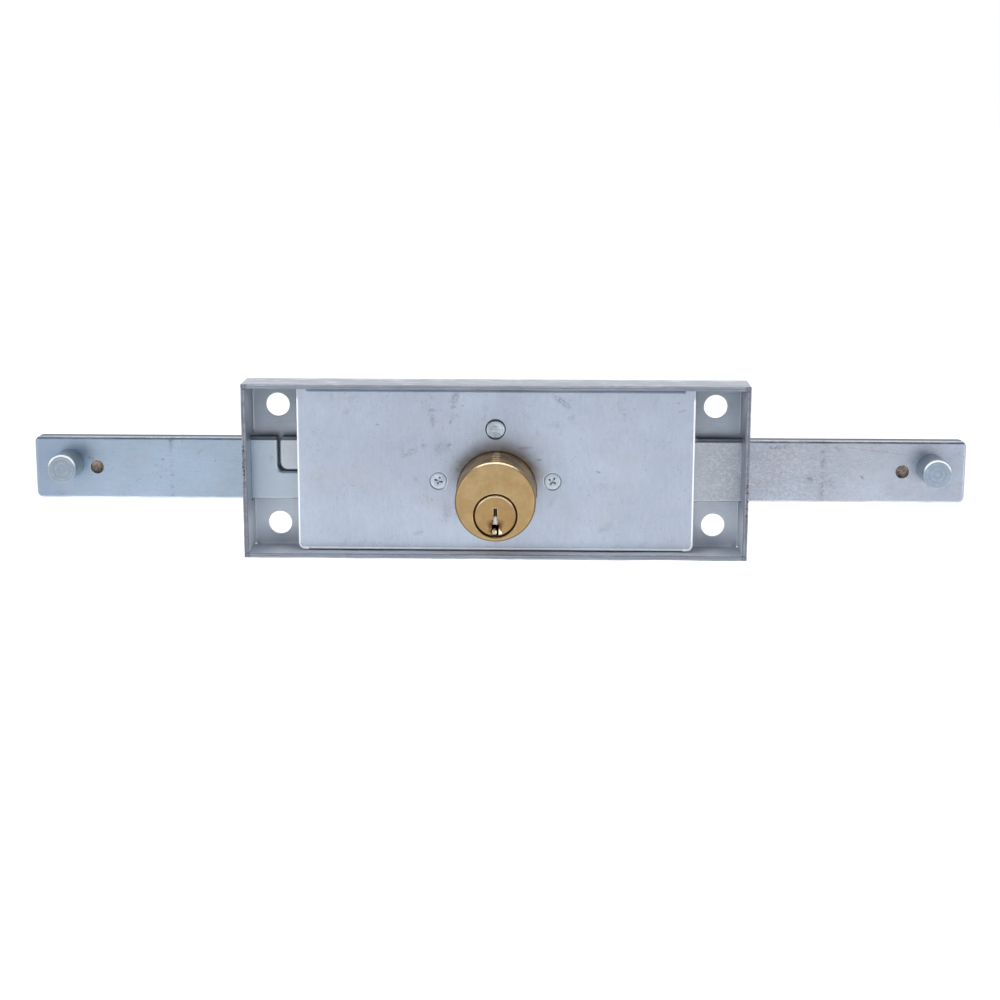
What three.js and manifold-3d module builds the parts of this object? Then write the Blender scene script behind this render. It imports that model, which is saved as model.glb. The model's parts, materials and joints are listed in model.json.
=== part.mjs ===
// Roller shutter centre deadlock: a pin tumbler cylinder turns a pinion that drives two flat
// bars outwards, in opposite directions, through the sides of a folded sheet steel case.
//
// Millimetres. +X runs along the bars to the right, +Y points to the rear, +Z is up.
// The origin is the centre of the case's rear outer face. The lock is drawn unlocked, with
// both bars drawn in and the cylinder pins lifted to the shear line, ready to turn.

import * as THREE from 'three';
import { mergeVertices } from 'three/addons/utils/BufferGeometryUtils.js';
import Module from 'manifold-3d';

// ---------------------------------------------------------------------------------------------
// Driving dimensions
// ---------------------------------------------------------------------------------------------

const CASE = { width: 160, height: 56, depth: 16, sheet: 1.5, bend: 2.0, slit: 0.1, relief: 2.0 };
const FIXING = { x: 70.3, z: 19.4, radius: 3.8 };
const COVER = {
  front: -11.25,
  sheet: 1.2,
  halfWidth: 63.1,
  halfHeight: 26.2,
  bend: 1.3,
  corner: 2,
  cylinderGap: 0.12,
};
const COVER_LIP = { halfLength: 60, gap: 0.05, earInset: 0.2 };

const BAR = { rear: -1.7, thickness: 5, height: 20.1, centreZ: -0.55, corner: 2 };
const BAR_ENDS = { left: -148.1, right: 149.7 };
const NOTCH = { x: -70, z: -1.42, tailEnd: -69.3, tailZ: -1.05 };
const PEG = { leftX: -137.0, rightX: 138.6, z: 0.8, radius: 4.5, length: 11, neck: 3, chamfer: 0.5 };
const BAR_HOLE = { leftX: -128.3, rightX: 129.7, z: -0.4, radius: 2.1 };
const SHOULDER = { footX: 62.7, outerX: 61.75, innerX: 38, topZ: 13, fillet: 3.2, corner: 1.2 };
const TONGUE = { neckX: -40, bottomZ: -20.6, endX: 23, rackStartX: -7.2, stepZ: -9.5, rootX: -31 };
const TAIL = { webX: -24, rackStartX: -20.2, rackRun: 0.4, endX: 12 };
const WINDOW = { reach: 4, frontGap: 0.5, bottomGap: 0.6, topGap: 0.9 };

const CYLINDER = { x: 0.4, z: -6.45, radius: 12.6, front: -30, rear: -6.95, chamfer: 0.6 };
const PLUG = { z: -10.73, radius: 6.3, headRadius: 6.5, headLength: 1.1, tail: 3.2, tailEnd: -3.4 };
const BORE = { radius: 6.4, headRadius: 6.85, headLength: 1.2, rimRadius: 7.1 };
const CLIP_SEAT = { radius: 7.6, depth: 1.55 };
const KEYWAY = { top: 2.4, step: -1.3, upperWidth: 1.2, lowerWidth: 2.0, end: -9.6 };
const FLARE = { z: -3.7, frontRadius: 2.8, rearRadius: 1.2, depth: 0.9 };
const CLIP = { inner: 6.0, outer: 7.2, front: -8.3, rear: -7.5, gapAngle: 1.0 };

const PINS = { count: 5, firstY: -26.6, pitch: 3.8, radius: 1.35, bore: 1.45, bottom: -4.4 };
const KEY_PIN_LENGTHS = [9.5, 8.3, 8.9, 7.9, 8.6];
const STACK = { keyPinTop: 6.1, driverBottom: 6.5, driverTop: 10.2, springTop: 14.65 };
const CAP = { bottom: 14.7, top: 16.75, clearance: 0.03, chamfer: 0.2 };
const PIN_SPRING = { wire: 0.2, radius: 1.02, turns: 4.5, stepsPerTurn: 8 };

const PINION = { teeth: 9, module: 1, pressure: Math.PI / 6, addendum: 0.8, dedendum: 1.2, backlash: 0.2 };
const RACK = { addendum: 0.8, dedendum: 1.0, backlash: 0.16 };
const BUSH = { outer: 4, inner: 2.6, shaft: 2.5 };

const PILLAR = { z: 13.24, body: 3.5, frontEnd: 3.1, rearEnd: 3.0, proud: 0.3 };
const FORK = { thickness: 2, halfWidth: 22.8, inner: 10.9, top: 2.6, bottom: -24.4, throat: -19.6 };
const SCREW = { x: 18.1, z: -3.4, head: 2.6, shank: 1.3, end: -7.4 };
const RECESS = { halfLength: 1.35, halfWidth: 0.32, depth: 0.75 };
const STUD = { radius: 1.9, front: -6.9, clearance: 0.04 };
const GUIDE_STUDS = { left: [-26, -22.7], right: [12, -22.7] };
const SPRING_POSTS = { anchor: [-50, 20.5], stop: [-38, 20.5] };
const DETENT = { x: -20, depth: 1.2, topHalf: 3.5, floorHalf: 1.5, strip: 0.6, front: -6.5, rear: -2.1 };

// Worked out from the dimensions above
const halfW = CASE.width / 2;
const halfH = CASE.height / 2;
const coverRear = COVER.front + COVER.sheet;
const barFront = BAR.rear - BAR.thickness;
const barTop = BAR.centreZ + BAR.height / 2;
const barBottom = BAR.centreZ - BAR.height / 2;
const pitchRadius = PINION.module * PINION.teeth / 2;
const toothPitch = Math.PI * PINION.module;
const travel = Math.PI * pitchRadius;
const axisX = CYLINDER.x;
const upperPitchZ = PLUG.z + pitchRadius;
const lowerPitchZ = PLUG.z - pitchRadius;

// ---------------------------------------------------------------------------------------------
// Solids: closed meshes in, closed meshes out
// ---------------------------------------------------------------------------------------------

const wasm = await Module();
wasm.setup();

// Merges a geometry's vertices, drops its zero-area triangles and turns its faces outwards.
function toSolid(geometry) {
  const bare = geometry.clone();
  bare.deleteAttribute('normal');
  bare.deleteAttribute('uv');
  const merged = mergeVertices(bare, 1e-4);
  const points = merged.attributes.position.array;
  const triangles = [];
  let volume = 0;
  for (let i = 0; i < merged.index.count; i += 3) {
    const corners = [0, 1, 2].map((k) => merged.index.getX(i + k));
    if (new Set(corners).size < 3) continue;
    triangles.push(corners);
    const [a, b, c] = corners.map((k) => new THREE.Vector3().fromArray(points, 3 * k));
    volume += a.dot(b.cross(c));
  }
  const outward = volume > 0 ? triangles : triangles.map(([a, b, c]) => [a, c, b]);
  const mesh = new wasm.Mesh({
    numProp: 3,
    vertProperties: new Float32Array(points),
    triVerts: new Uint32Array(outward.flat()),
  });
  return new wasm.Manifold(mesh);
}

function joined(first, ...others) {
  return others.reduce((sum, other) => sum.add(other), first);
}

function cut(solid, ...tools) {
  return tools.reduce((rest, tool) => rest.subtract(tool), solid);
}

function toGeometry(solid) {
  const { vertProperties, triVerts } = solid.getMesh();
  const geometry = new THREE.BufferGeometry();
  geometry.setAttribute('position', new THREE.Float32BufferAttribute(vertProperties, 3));
  geometry.setIndex(Array.from(triVerts));
  geometry.computeVertexNormals();
  return geometry;
}

function box(x0, x1, y0, y1, z0, z1) {
  const geometry = new THREE.BoxGeometry(x1 - x0, y1 - y0, z1 - z0);
  geometry.translate((x0 + x1) / 2, (y0 + y1) / 2, (z0 + z1) / 2);
  return toSolid(geometry);
}

// A round bar along Y, or a cone where the two radii differ.
function roundAlongY(x, z, front, rear, radius, frontRadius = radius, segments = 32) {
  const geometry = new THREE.CylinderGeometry(radius, frontRadius, rear - front, segments);
  geometry.translate(x, (front + rear) / 2, z);
  return toSolid(geometry);
}

// A round bar along Z on the cylinder's mid plane, at depth y.
function roundAlongZ(y, bottom, top, radius, segments = 16) {
  const geometry = new THREE.CylinderGeometry(radius, radius, top - bottom, segments);
  geometry.rotateX(Math.PI / 2);
  geometry.translate(axisX, y, (bottom + top) / 2);
  return toSolid(geometry);
}

// A turned piece about a Y axis through (x, z). The profile is a list of [radius, y].
function turnedAlongY(profile, x, z, segments = 32) {
  const points = profile.map(([radius, y]) => new THREE.Vector2(radius, y));
  const geometry = new THREE.LatheGeometry(points, segments);
  geometry.translate(x, 0, z);
  return toSolid(geometry);
}

// A turned piece about a Z axis on the cylinder's mid plane. The profile is a list of [radius, z].
function turnedAlongZ(profile, y, segments = 14) {
  const points = profile.map(([radius, z]) => new THREE.Vector2(radius, z));
  const geometry = new THREE.LatheGeometry(points, segments);
  geometry.rotateX(Math.PI / 2);
  geometry.translate(axisX, y, 0);
  return toSolid(geometry);
}

const AXES = {
  x: new THREE.Vector3(1, 0, 0),
  y: new THREE.Vector3(0, 1, 0),
  z: new THREE.Vector3(0, 0, 1),
};

function extruded(shape, depth, basis, offset) {
  const geometry = new THREE.ExtrudeGeometry(shape, { depth, bevelEnabled: false, curveSegments: 5 });
  geometry.applyMatrix4(basis);
  geometry.translate(offset.x, offset.y, offset.z);
  return toSolid(geometry);
}

// A plate whose outline is drawn in X and Z, between two depths.
function plateXZ(shape, front, rear) {
  const basis = new THREE.Matrix4().makeBasis(AXES.x, AXES.z, AXES.y.clone().negate());
  return extruded(shape, rear - front, basis, new THREE.Vector3(0, rear, 0));
}

// A folded section drawn in Y and Z that runs along X.
function sectionAlongX(shape, halfLength) {
  const basis = new THREE.Matrix4().makeBasis(AXES.y, AXES.z, AXES.x);
  return extruded(shape, 2 * halfLength, basis, new THREE.Vector3(-halfLength, 0, 0));
}

// A folded section drawn in Y and X that runs along Z.
function sectionAlongZ(shape, halfLength) {
  const basis = new THREE.Matrix4().makeBasis(AXES.y, AXES.x, AXES.z.clone().negate());
  return extruded(shape, 2 * halfLength, basis, new THREE.Vector3(0, 0, halfLength));
}

// An outline through corner points [x, z, radius], with each radius as an arc of a few steps.
function outline(corners, steps = 4) {
  const points = [];
  corners.forEach(([x, z, radius = 0], i) => {
    const corner = new THREE.Vector2(x, z);
    if (radius === 0) {
      points.push(corner);
      return;
    }
    const before = corners[(i + corners.length - 1) % corners.length];
    const after = corners[(i + 1) % corners.length];
    const toBefore = new THREE.Vector2(before[0] - x, before[1] - z).normalize();
    const toAfter = new THREE.Vector2(after[0] - x, after[1] - z).normalize();
    const half = Math.acos(THREE.MathUtils.clamp(toBefore.dot(toAfter), -1, 1)) / 2;
    const bisector = toBefore.clone().add(toAfter).normalize();
    const centre = corner.clone().addScaledVector(bisector, radius / Math.sin(half));
    const reach = radius / Math.tan(half);
    const from = corner.clone().addScaledVector(toBefore, reach).sub(centre).angle();
    const to = corner.clone().addScaledVector(toAfter, reach).sub(centre).angle();
    const sweep = Math.atan2(Math.sin(to - from), Math.cos(to - from));
    for (let k = 0; k <= steps; k += 1) {
      const angle = from + sweep * k / steps;
      const spoke = new THREE.Vector2(Math.cos(angle), Math.sin(angle));
      points.push(centre.clone().addScaledVector(spoke, radius));
    }
  });
  return new THREE.Shape(points);
}

// A sheet folded to a U: a web at depth "web" and two legs that reach depth "edge".
function foldedSection(halfSpan, web, edge, sheet, bend) {
  const towards = Math.sign(edge - web);
  const inner = bend - sheet;
  const corner = { y: web + towards * bend, span: halfSpan - bend };
  const arc = (radius, side, fromLeg) => {
    const steps = 5;
    const points = [];
    for (let k = 0; k <= steps; k += 1) {
      const turn = (Math.PI / 2) * (fromLeg ? k / steps : 1 - k / steps);
      const y = corner.y - towards * radius * Math.sin(turn);
      points.push(new THREE.Vector2(y, side * (corner.span + radius * Math.cos(turn))));
    }
    return points;
  };
  return new THREE.Shape([
    new THREE.Vector2(edge, halfSpan),
    ...arc(bend, 1, true),
    ...arc(bend, -1, false),
    new THREE.Vector2(edge, -halfSpan),
    new THREE.Vector2(edge, sheet - halfSpan),
    ...arc(inner, -1, true),
    ...arc(inner, 1, false),
    new THREE.Vector2(edge, halfSpan - sheet),
  ]);
}

// ---------------------------------------------------------------------------------------------
// Materials and the group
// ---------------------------------------------------------------------------------------------

const group = new THREE.Group();
group.name = 'shutter_centre_deadlock';

const FINISHES = {
  caseZinc: { color: 0x8f9797, roughness: 0.5, metalness: 1 },
  coverZinc: { color: 0xaab4bf, roughness: 0.42, metalness: 1 },
  barZinc: { color: 0x9aabbd, roughness: 0.36, metalness: 1 },
  steel: { color: 0xa6a8aa, roughness: 0.35, metalness: 1 },
  brass: { color: 0xb8924a, roughness: 0.35, metalness: 1 },
  bronze: { color: 0xa5713f, roughness: 0.45, metalness: 1 },
  springSteel: { color: 0x6f747a, roughness: 0.3, metalness: 1 },
};

function place(name, solid, finish) {
  const mesh = new THREE.Mesh(toGeometry(solid), new THREE.MeshStandardMaterial(FINISHES[finish]));
  mesh.name = name;
  group.add(mesh);
}

// ---------------------------------------------------------------------------------------------
// Case: one folded sheet with four flanges, open to the front
// ---------------------------------------------------------------------------------------------

function caseTray() {
  const long = foldedSection(halfH, 0, -CASE.depth, CASE.sheet, CASE.bend);
  const short = foldedSection(halfW, 0, -CASE.depth, CASE.sheet, CASE.bend);
  const topAndBottom = sectionAlongX(long, halfW - CASE.relief);
  const sides = sectionAlongZ(short, halfH - CASE.sheet - CASE.slit);
  const flangeEnds = [1, -1].map((side) => {
    const outer = side * halfH;
    const inner = side * (halfH - CASE.sheet);
    return box(-halfW, halfW, -CASE.depth, -CASE.bend, Math.min(inner, outer), Math.max(inner, outer));
  });
  const tray = joined(topAndBottom, sides, ...flangeEnds);
  const windows = [1, -1].map((side) => {
    const x = side * halfW;
    const bottom = barBottom - WINDOW.bottomGap;
    const top = barTop + WINDOW.topGap;
    return box(x - WINDOW.reach, x + WINDOW.reach, barFront - WINDOW.frontGap, -CASE.sheet, bottom, top);
  });
  const fixingHoles = [[1, 1], [1, -1], [-1, 1], [-1, -1]].map(([sx, sz]) => (
    roundAlongY(sx * FIXING.x, sz * FIXING.z, -3, 1, FIXING.radius)
  ));
  const studHoles = [...Object.values(GUIDE_STUDS), ...Object.values(SPRING_POSTS)].map(([x, z]) => (
    roundAlongY(x, z, -3, 1, STUD.radius + STUD.clearance, STUD.radius + STUD.clearance, 20)
  ));
  const pillarHole = roundAlongY(0, PILLAR.z, -3, 1, PILLAR.rearEnd + 0.04, PILLAR.rearEnd + 0.04, 24);
  const bushHole = roundAlongY(axisX, PLUG.z, -3, 1, BUSH.outer + 0.04, BUSH.outer + 0.04, 24);
  return cut(tray, ...windows, ...fixingHoles, ...studHoles, pillarHole, bushHole);
}

// ---------------------------------------------------------------------------------------------
// Cover: a plate with two folded lips that stand on the case's back
// ---------------------------------------------------------------------------------------------

function coverPlate() {
  const lipEdge = -CASE.sheet - COVER_LIP.gap;
  const section = foldedSection(COVER.halfHeight, COVER.front, lipEdge, COVER.sheet, COVER.bend);
  const folded = sectionAlongX(section, COVER_LIP.halfLength);
  const w = COVER.halfWidth;
  const h = COVER.halfHeight - COVER_LIP.earInset;
  const ears = [-1, 1].map((side) => {
    const innerX = side * (COVER_LIP.halfLength - 0.1);
    const ear = outline([
      [innerX, -h],
      [side * w, -h, COVER.corner],
      [side * w, h],
      [innerX, h],
    ]);
    return plateXZ(ear, COVER.front, coverRear);
  });
  const through = (x, z, radius, segments) => (
    roundAlongY(x, z, COVER.front - 1, coverRear + 1, radius, radius, segments)
  );
  const cylinderHole = through(axisX, CYLINDER.z, CYLINDER.radius + COVER.cylinderGap, 48);
  const pillarHole = through(0, PILLAR.z, PILLAR.frontEnd + 0.12, 24);
  const screwHoles = [-1, 1].map((side) => {
    const x = side * SCREW.x;
    const sinkRear = coverRear - 0.05;
    const countersink = roundAlongY(x, SCREW.z, COVER.front - 0.05, sinkRear, 1.5, SCREW.head + 0.3, 24);
    return through(x, SCREW.z, SCREW.shank + 0.15, 24).add(countersink);
  });
  return cut(joined(folded, ...ears), cylinderHole, pillarHole, ...screwHoles);
}

// ---------------------------------------------------------------------------------------------
// Rack teeth and pinion: straight-sided rack, involute pinion, 30 degree pressure angle
// ---------------------------------------------------------------------------------------------

// Corner points of a rack's teeth from left to right. "up" is 1 for teeth that point up.
function rackTeeth(pitchZ, up, firstCentre, count) {
  const slope = Math.tan(PINION.pressure);
  const half = toothPitch / 4 - RACK.backlash / 2;
  const tip = pitchZ + up * RACK.addendum;
  const root = pitchZ - up * RACK.dedendum;
  const tipHalf = half - RACK.addendum * slope;
  const rootHalf = half + RACK.dedendum * slope;
  const points = [];
  for (let i = 0; i < count; i += 1) {
    const centre = firstCentre + i * toothPitch;
    points.push([centre - rootHalf, root], [centre - tipHalf, tip]);
    points.push([centre + tipHalf, tip], [centre + rootHalf, root]);
  }
  return points;
}

// One involute flank as [radius, angle from the tooth's centre line].
function flank(steps) {
  const base = pitchRadius * Math.cos(PINION.pressure);
  const outer = pitchRadius + PINION.addendum;
  const involute = (angle) => Math.tan(angle) - angle;
  const halfTooth = (toothPitch / 2 - PINION.backlash) / (2 * pitchRadius);
  return Array.from({ length: steps + 1 }, (_, k) => {
    const radius = base + (outer - base) * k / steps;
    const angle = Math.acos(base / radius);
    return [radius, halfTooth + involute(PINION.pressure) - involute(angle)];
  });
}

function pinionOutline() {
  const root = pitchRadius - PINION.dedendum;
  const points = [];
  const side = flank(4);
  for (let i = 0; i < PINION.teeth; i += 1) {
    const centre = Math.PI / 2 - i * 2 * Math.PI / PINION.teeth;
    const at = (radius, offset) => new THREE.Vector2(
      axisX + radius * Math.cos(centre + offset),
      PLUG.z + radius * Math.sin(centre + offset),
    );
    points.push(at(root, side[0][1]));
    side.forEach(([radius, angle]) => points.push(at(radius, angle)));
    [...side].reverse().forEach(([radius, angle]) => points.push(at(radius, -angle)));
    points.push(at(root, -side[0][1]));
  }
  return new THREE.Shape(points);
}

function drivePinion() {
  const gear = plateXZ(pinionOutline(), barFront + 0.1, BAR.rear - 0.1);
  const shaft = roundAlongY(axisX, PLUG.z, BAR.rear - 0.2, -0.05, BUSH.shaft, BUSH.shaft, 24);
  const half = PLUG.tail / 2 + 0.1;
  const socketRear = PLUG.tailEnd + 0.2;
  const socket = box(axisX - half, axisX + half, barFront - 1, socketRear, PLUG.z - half, PLUG.z + half);
  return cut(joined(gear, shaft), socket);
}

// ---------------------------------------------------------------------------------------------
// Bars
// ---------------------------------------------------------------------------------------------

function detentNotch(x) {
  return [
    [x + DETENT.topHalf, barTop],
    [x + DETENT.floorHalf, barTop - DETENT.depth],
    [x - DETENT.floorHalf, barTop - DETENT.depth],
    [x - DETENT.topHalf, barTop],
  ];
}

function barHoles(pegX, holeX) {
  const pegHole = roundAlongY(pegX, PEG.z, -8, 0, PEG.neck + 0.04, PEG.neck + 0.04, 24);
  return [pegHole, roundAlongY(holeX, BAR_HOLE.z, -8, 0, BAR_HOLE.radius, BAR_HOLE.radius, 24)];
}

// The left bar's tongue carries the lower rack, with its teeth upwards.
function leftBar() {
  const rackRoot = lowerPitchZ - RACK.dedendum;
  const shape = outline([
    [BAR_ENDS.left, barBottom, BAR.corner],
    [TONGUE.neckX, barBottom, 3],
    [TONGUE.neckX, TONGUE.bottomZ, 3],
    [TONGUE.endX, TONGUE.bottomZ, 1.5],
    [TONGUE.endX, rackRoot],
    ...rackTeeth(lowerPitchZ, 1, axisX - toothPitch, 8).reverse(),
    [TONGUE.rackStartX, rackRoot],
    [TONGUE.rackStartX, TONGUE.stepZ, 1],
    [TONGUE.rootX, TONGUE.stepZ, 1.5],
    [TONGUE.rootX, NOTCH.z, 2],
    [NOTCH.x, NOTCH.z, 1.6],
    [NOTCH.x, barTop, 1],
    [BAR_ENDS.left, barTop, BAR.corner],
  ]);
  return cut(plateXZ(shape, barFront, BAR.rear), ...barHoles(PEG.leftX, BAR_HOLE.leftX));
}

// The right bar's tail runs over the pinion and carries the upper rack, with its teeth down.
function rightBar() {
  const rackRoot = upperPitchZ + RACK.dedendum;
  const rackTip = upperPitchZ - RACK.addendum;
  const shape = outline([
    [BAR_ENDS.right, barBottom, BAR.corner],
    [BAR_ENDS.right, barTop, BAR.corner],
    [SHOULDER.footX, barTop, SHOULDER.fillet],
    [SHOULDER.outerX, SHOULDER.topZ, SHOULDER.corner],
    [SHOULDER.innerX, SHOULDER.topZ, SHOULDER.corner],
    [SHOULDER.innerX, barTop, SHOULDER.corner],
    ...detentNotch(DETENT.x),
    ...detentNotch(DETENT.x - travel),
    [NOTCH.tailEnd, barTop, 1.2],
    [NOTCH.tailEnd, NOTCH.tailZ, 2.4],
    [TAIL.webX, NOTCH.tailZ, 1.5],
    [TAIL.webX, rackTip, 1],
    [TAIL.rackStartX, rackTip],
    [TAIL.rackStartX + TAIL.rackRun, rackRoot],
    ...rackTeeth(upperPitchZ, -1, axisX - 5.5 * toothPitch, 7),
    [TAIL.endX, rackRoot, 1],
    [TAIL.endX, barBottom, 2],
  ]);
  return cut(plateXZ(shape, barFront, BAR.rear), ...barHoles(PEG.rightX, BAR_HOLE.rightX));
}

function peg(x) {
  const face = barFront - PEG.length;
  const profile = [
    [0, face],
    [PEG.radius - PEG.chamfer, face],
    [PEG.radius, face + PEG.chamfer],
    [PEG.radius, barFront],
    [PEG.neck, barFront],
    [PEG.neck, BAR.rear],
    [0, BAR.rear],
  ];
  return turnedAlongY(profile, x, PEG.z, 32);
}

// ---------------------------------------------------------------------------------------------
// Cylinder: body, plug, clip, pins, springs and caps
// ---------------------------------------------------------------------------------------------

function pinDepth(index) {
  return PINS.firstY + index * PINS.pitch;
}

function cylinderBody() {
  const { radius, front, rear, chamfer } = CYLINDER;
  const profile = [
    [0, front],
    [radius - chamfer, front],
    [radius, front + chamfer],
    [radius, rear - 0.3],
    [radius - 0.3, rear],
    [0, rear],
  ];
  const outer = turnedAlongY(profile, axisX, CYLINDER.z, 56);
  const bore = roundAlongY(axisX, PLUG.z, front - 1, rear + 1, BORE.radius, BORE.radius, 48);
  const headRear = front + BORE.headLength;
  const headBore = roundAlongY(axisX, PLUG.z, front - 1, headRear, BORE.headRadius, BORE.headRadius, 48);
  const rim = roundAlongY(axisX, PLUG.z, front - 0.1, front + 0.2, BORE.headRadius, BORE.rimRadius + 0.1, 48);
  const seatFront = rear - CLIP_SEAT.depth;
  const clipSeat = roundAlongY(axisX, PLUG.z, seatFront, rear + 1, CLIP_SEAT.radius, CLIP_SEAT.radius, 40);
  const chamberTop = CYLINDER.z + radius + 2;
  const chambers = Array.from({ length: PINS.count }, (_, i) => (
    roundAlongZ(pinDepth(i), PLUG.z + 5, chamberTop, PINS.bore)
  ));
  const slots = [-1, 1].map((side) => {
    const near = FORK.inner - 0.1;
    const x0 = axisX + (side > 0 ? near : -20);
    const x1 = axisX + (side > 0 ? 20 : -near);
    return box(x0, x1, coverRear - 0.02, coverRear + FORK.thickness + 0.05, -25, 10);
  });
  return cut(outer, bore, headBore, rim, clipSeat, ...chambers, ...slots);
}

function plug() {
  const groove = CLIP.inner - 0.15;
  const front = CYLINDER.front;
  const rear = CYLINDER.rear;
  const profile = [
    [0, front],
    [PLUG.headRadius - 0.35, front],
    [PLUG.headRadius, front + 0.35],
    [PLUG.headRadius, front + PLUG.headLength],
    [PLUG.radius, front + PLUG.headLength],
    [PLUG.radius, CLIP.front - 0.05],
    [groove, CLIP.front - 0.05],
    [groove, CLIP.rear + 0.05],
    [PLUG.radius, CLIP.rear + 0.05],
    [PLUG.radius, rear],
    [0, rear],
  ];
  const half = PLUG.tail / 2;
  const tail = box(axisX - half, axisX + half, rear - 0.5, PLUG.tailEnd, PLUG.z - half, PLUG.z + half);
  const turned = joined(turnedAlongY(profile, axisX, PLUG.z, 48), tail);
  const upperHalf = KEYWAY.upperWidth / 2;
  const lowerHalf = KEYWAY.lowerWidth / 2;
  const step = PLUG.z + KEYWAY.step;
  const top = PLUG.z + KEYWAY.top;
  const bottom = PLUG.z - PLUG.radius - 1;
  const upper = box(axisX - upperHalf, axisX + upperHalf, front - 1, KEYWAY.end, step - 1, top);
  const lower = box(axisX - lowerHalf, axisX + lowerHalf, front - 1, KEYWAY.end, bottom, step);
  const flareZ = PLUG.z + FLARE.z;
  const flareRear = front + FLARE.depth;
  const flare = roundAlongY(axisX, flareZ, front - 0.1, flareRear, FLARE.rearRadius, FLARE.frontRadius, 24);
  const chambers = Array.from({ length: PINS.count }, (_, i) => (
    roundAlongZ(pinDepth(i), PLUG.z + PINS.bottom, PLUG.z + 8, PINS.bore)
  ));
  return cut(turned, upper, lower, flare, ...chambers);
}

function plugClip() {
  const start = -Math.PI / 2 + CLIP.gapAngle / 2;
  const sweep = 2 * Math.PI - CLIP.gapAngle;
  const steps = 28;
  const arc = (radius, reverse) => Array.from({ length: steps + 1 }, (_, k) => {
    const angle = start + sweep * (reverse ? 1 - k / steps : k / steps);
    return new THREE.Vector2(axisX + radius * Math.cos(angle), PLUG.z + radius * Math.sin(angle));
  });
  const ring = new THREE.Shape([...arc(CLIP.outer, false), ...arc(CLIP.inner, true)]);
  return plateXZ(ring, CLIP.front, CLIP.rear);
}

function keyPin(index) {
  const top = PLUG.z + STACK.keyPinTop;
  const tip = top - KEY_PIN_LENGTHS[index];
  const r = PINS.radius;
  const profile = [[0, tip], [0.55, tip + 0.15], [r, tip + 1.15], [r, top - 0.15], [r - 0.15, top], [0, top]];
  return turnedAlongZ(profile, pinDepth(index));
}

function driverPin(index) {
  const bottom = PLUG.z + STACK.driverBottom;
  const top = PLUG.z + STACK.driverTop;
  const r = PINS.radius;
  const chamfer = 0.2;
  const profile = [
    [0, bottom],
    [r - chamfer, bottom],
    [r, bottom + chamfer],
    [r, top - chamfer],
    [r - chamfer, top],
    [0, top],
  ];
  return turnedAlongZ(profile, pinDepth(index));
}

function chamberCap(index) {
  const bottom = PLUG.z + CAP.bottom;
  const top = PLUG.z + CAP.top;
  const r = PINS.bore - CAP.clearance;
  const profile = [[0, bottom], [r, bottom], [r, top - CAP.chamfer], [r - CAP.chamfer, top], [0, top]];
  return turnedAlongZ(profile, pinDepth(index));
}

class Helix extends THREE.Curve {
  constructor(radius, bottom, top, turns, y) {
    super();
    Object.assign(this, { radius, bottom, top, turns, y });
  }

  getPoint(t, target = new THREE.Vector3()) {
    const angle = 2 * Math.PI * this.turns * t;
    const z = this.bottom + (this.top - this.bottom) * t;
    return target.set(axisX + this.radius * Math.cos(angle), this.y + this.radius * Math.sin(angle), z);
  }
}

function pinSpring(index) {
  const wire = PIN_SPRING.wire;
  const bottom = PLUG.z + STACK.driverTop + wire + 0.08;
  const top = PLUG.z + STACK.springTop - wire - 0.03;
  const path = new Helix(PIN_SPRING.radius, bottom, top, PIN_SPRING.turns, pinDepth(index));
  const sides = 5;
  const section = new THREE.Shape(Array.from({ length: sides }, (_, k) => (
    new THREE.Vector2(wire, 0).rotateAround(new THREE.Vector2(), 2 * Math.PI * k / sides)
  )));
  const steps = PIN_SPRING.turns * PIN_SPRING.stepsPerTurn;
  const settings = { steps, bevelEnabled: false, extrudePath: path };
  return toSolid(new THREE.ExtrudeGeometry(section, settings));
}

// ---------------------------------------------------------------------------------------------
// Fastenings, studs and the detent spring
// ---------------------------------------------------------------------------------------------

function pillar() {
  const proudFace = COVER.front - PILLAR.proud;
  const profile = [
    [0, proudFace],
    [PILLAR.frontEnd - 0.5, proudFace],
    [PILLAR.frontEnd, proudFace + 0.25],
    [PILLAR.frontEnd, coverRear],
    [PILLAR.body, coverRear],
    [PILLAR.body, -CASE.sheet],
    [PILLAR.rearEnd, -CASE.sheet],
    [PILLAR.rearEnd, 0],
    [0, 0],
  ];
  return turnedAlongY(profile, 0, PILLAR.z, 28);
}

function retainingFork() {
  const w = FORK.halfWidth;
  const shape = outline([
    [-w, FORK.bottom, 2],
    [w, FORK.bottom, 2],
    [w, FORK.top, 2],
    [axisX + FORK.inner, FORK.top, 1],
    [axisX + FORK.inner, FORK.throat, 2],
    [axisX - FORK.inner, FORK.throat, 2],
    [axisX - FORK.inner, FORK.top, 1],
    [-w, FORK.top, 2],
  ]);
  const plate = plateXZ(shape, coverRear, coverRear + FORK.thickness);
  const hole = SCREW.shank + 0.06;
  return cut(plate, ...[-1, 1].map((side) => roundAlongY(side * SCREW.x, SCREW.z, -12, -6, hole, hole, 24)));
}

function coverScrew(side) {
  const front = COVER.front;
  const profile = [
    [0, front],
    [SCREW.head, front],
    [SCREW.head, front + 0.1],
    [SCREW.shank, front + 1.1],
    [SCREW.shank, SCREW.end - 0.4],
    [SCREW.shank - 0.4, SCREW.end],
    [0, SCREW.end],
  ];
  const x = side * SCREW.x;
  const screw = turnedAlongY(profile, x, SCREW.z, 24);
  const long = RECESS.halfLength;
  const short = RECESS.halfWidth;
  const floor = front + RECESS.depth;
  const recess = joined(
    box(x - long, x + long, front - 1, floor, SCREW.z - short, SCREW.z + short),
    box(x - short, x + short, front - 1, floor, SCREW.z - long, SCREW.z + long),
  );
  return cut(screw, recess);
}

function stud([x, z]) {
  return roundAlongY(x, z, STUD.front, 0, STUD.radius, STUD.radius, 20);
}

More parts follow.
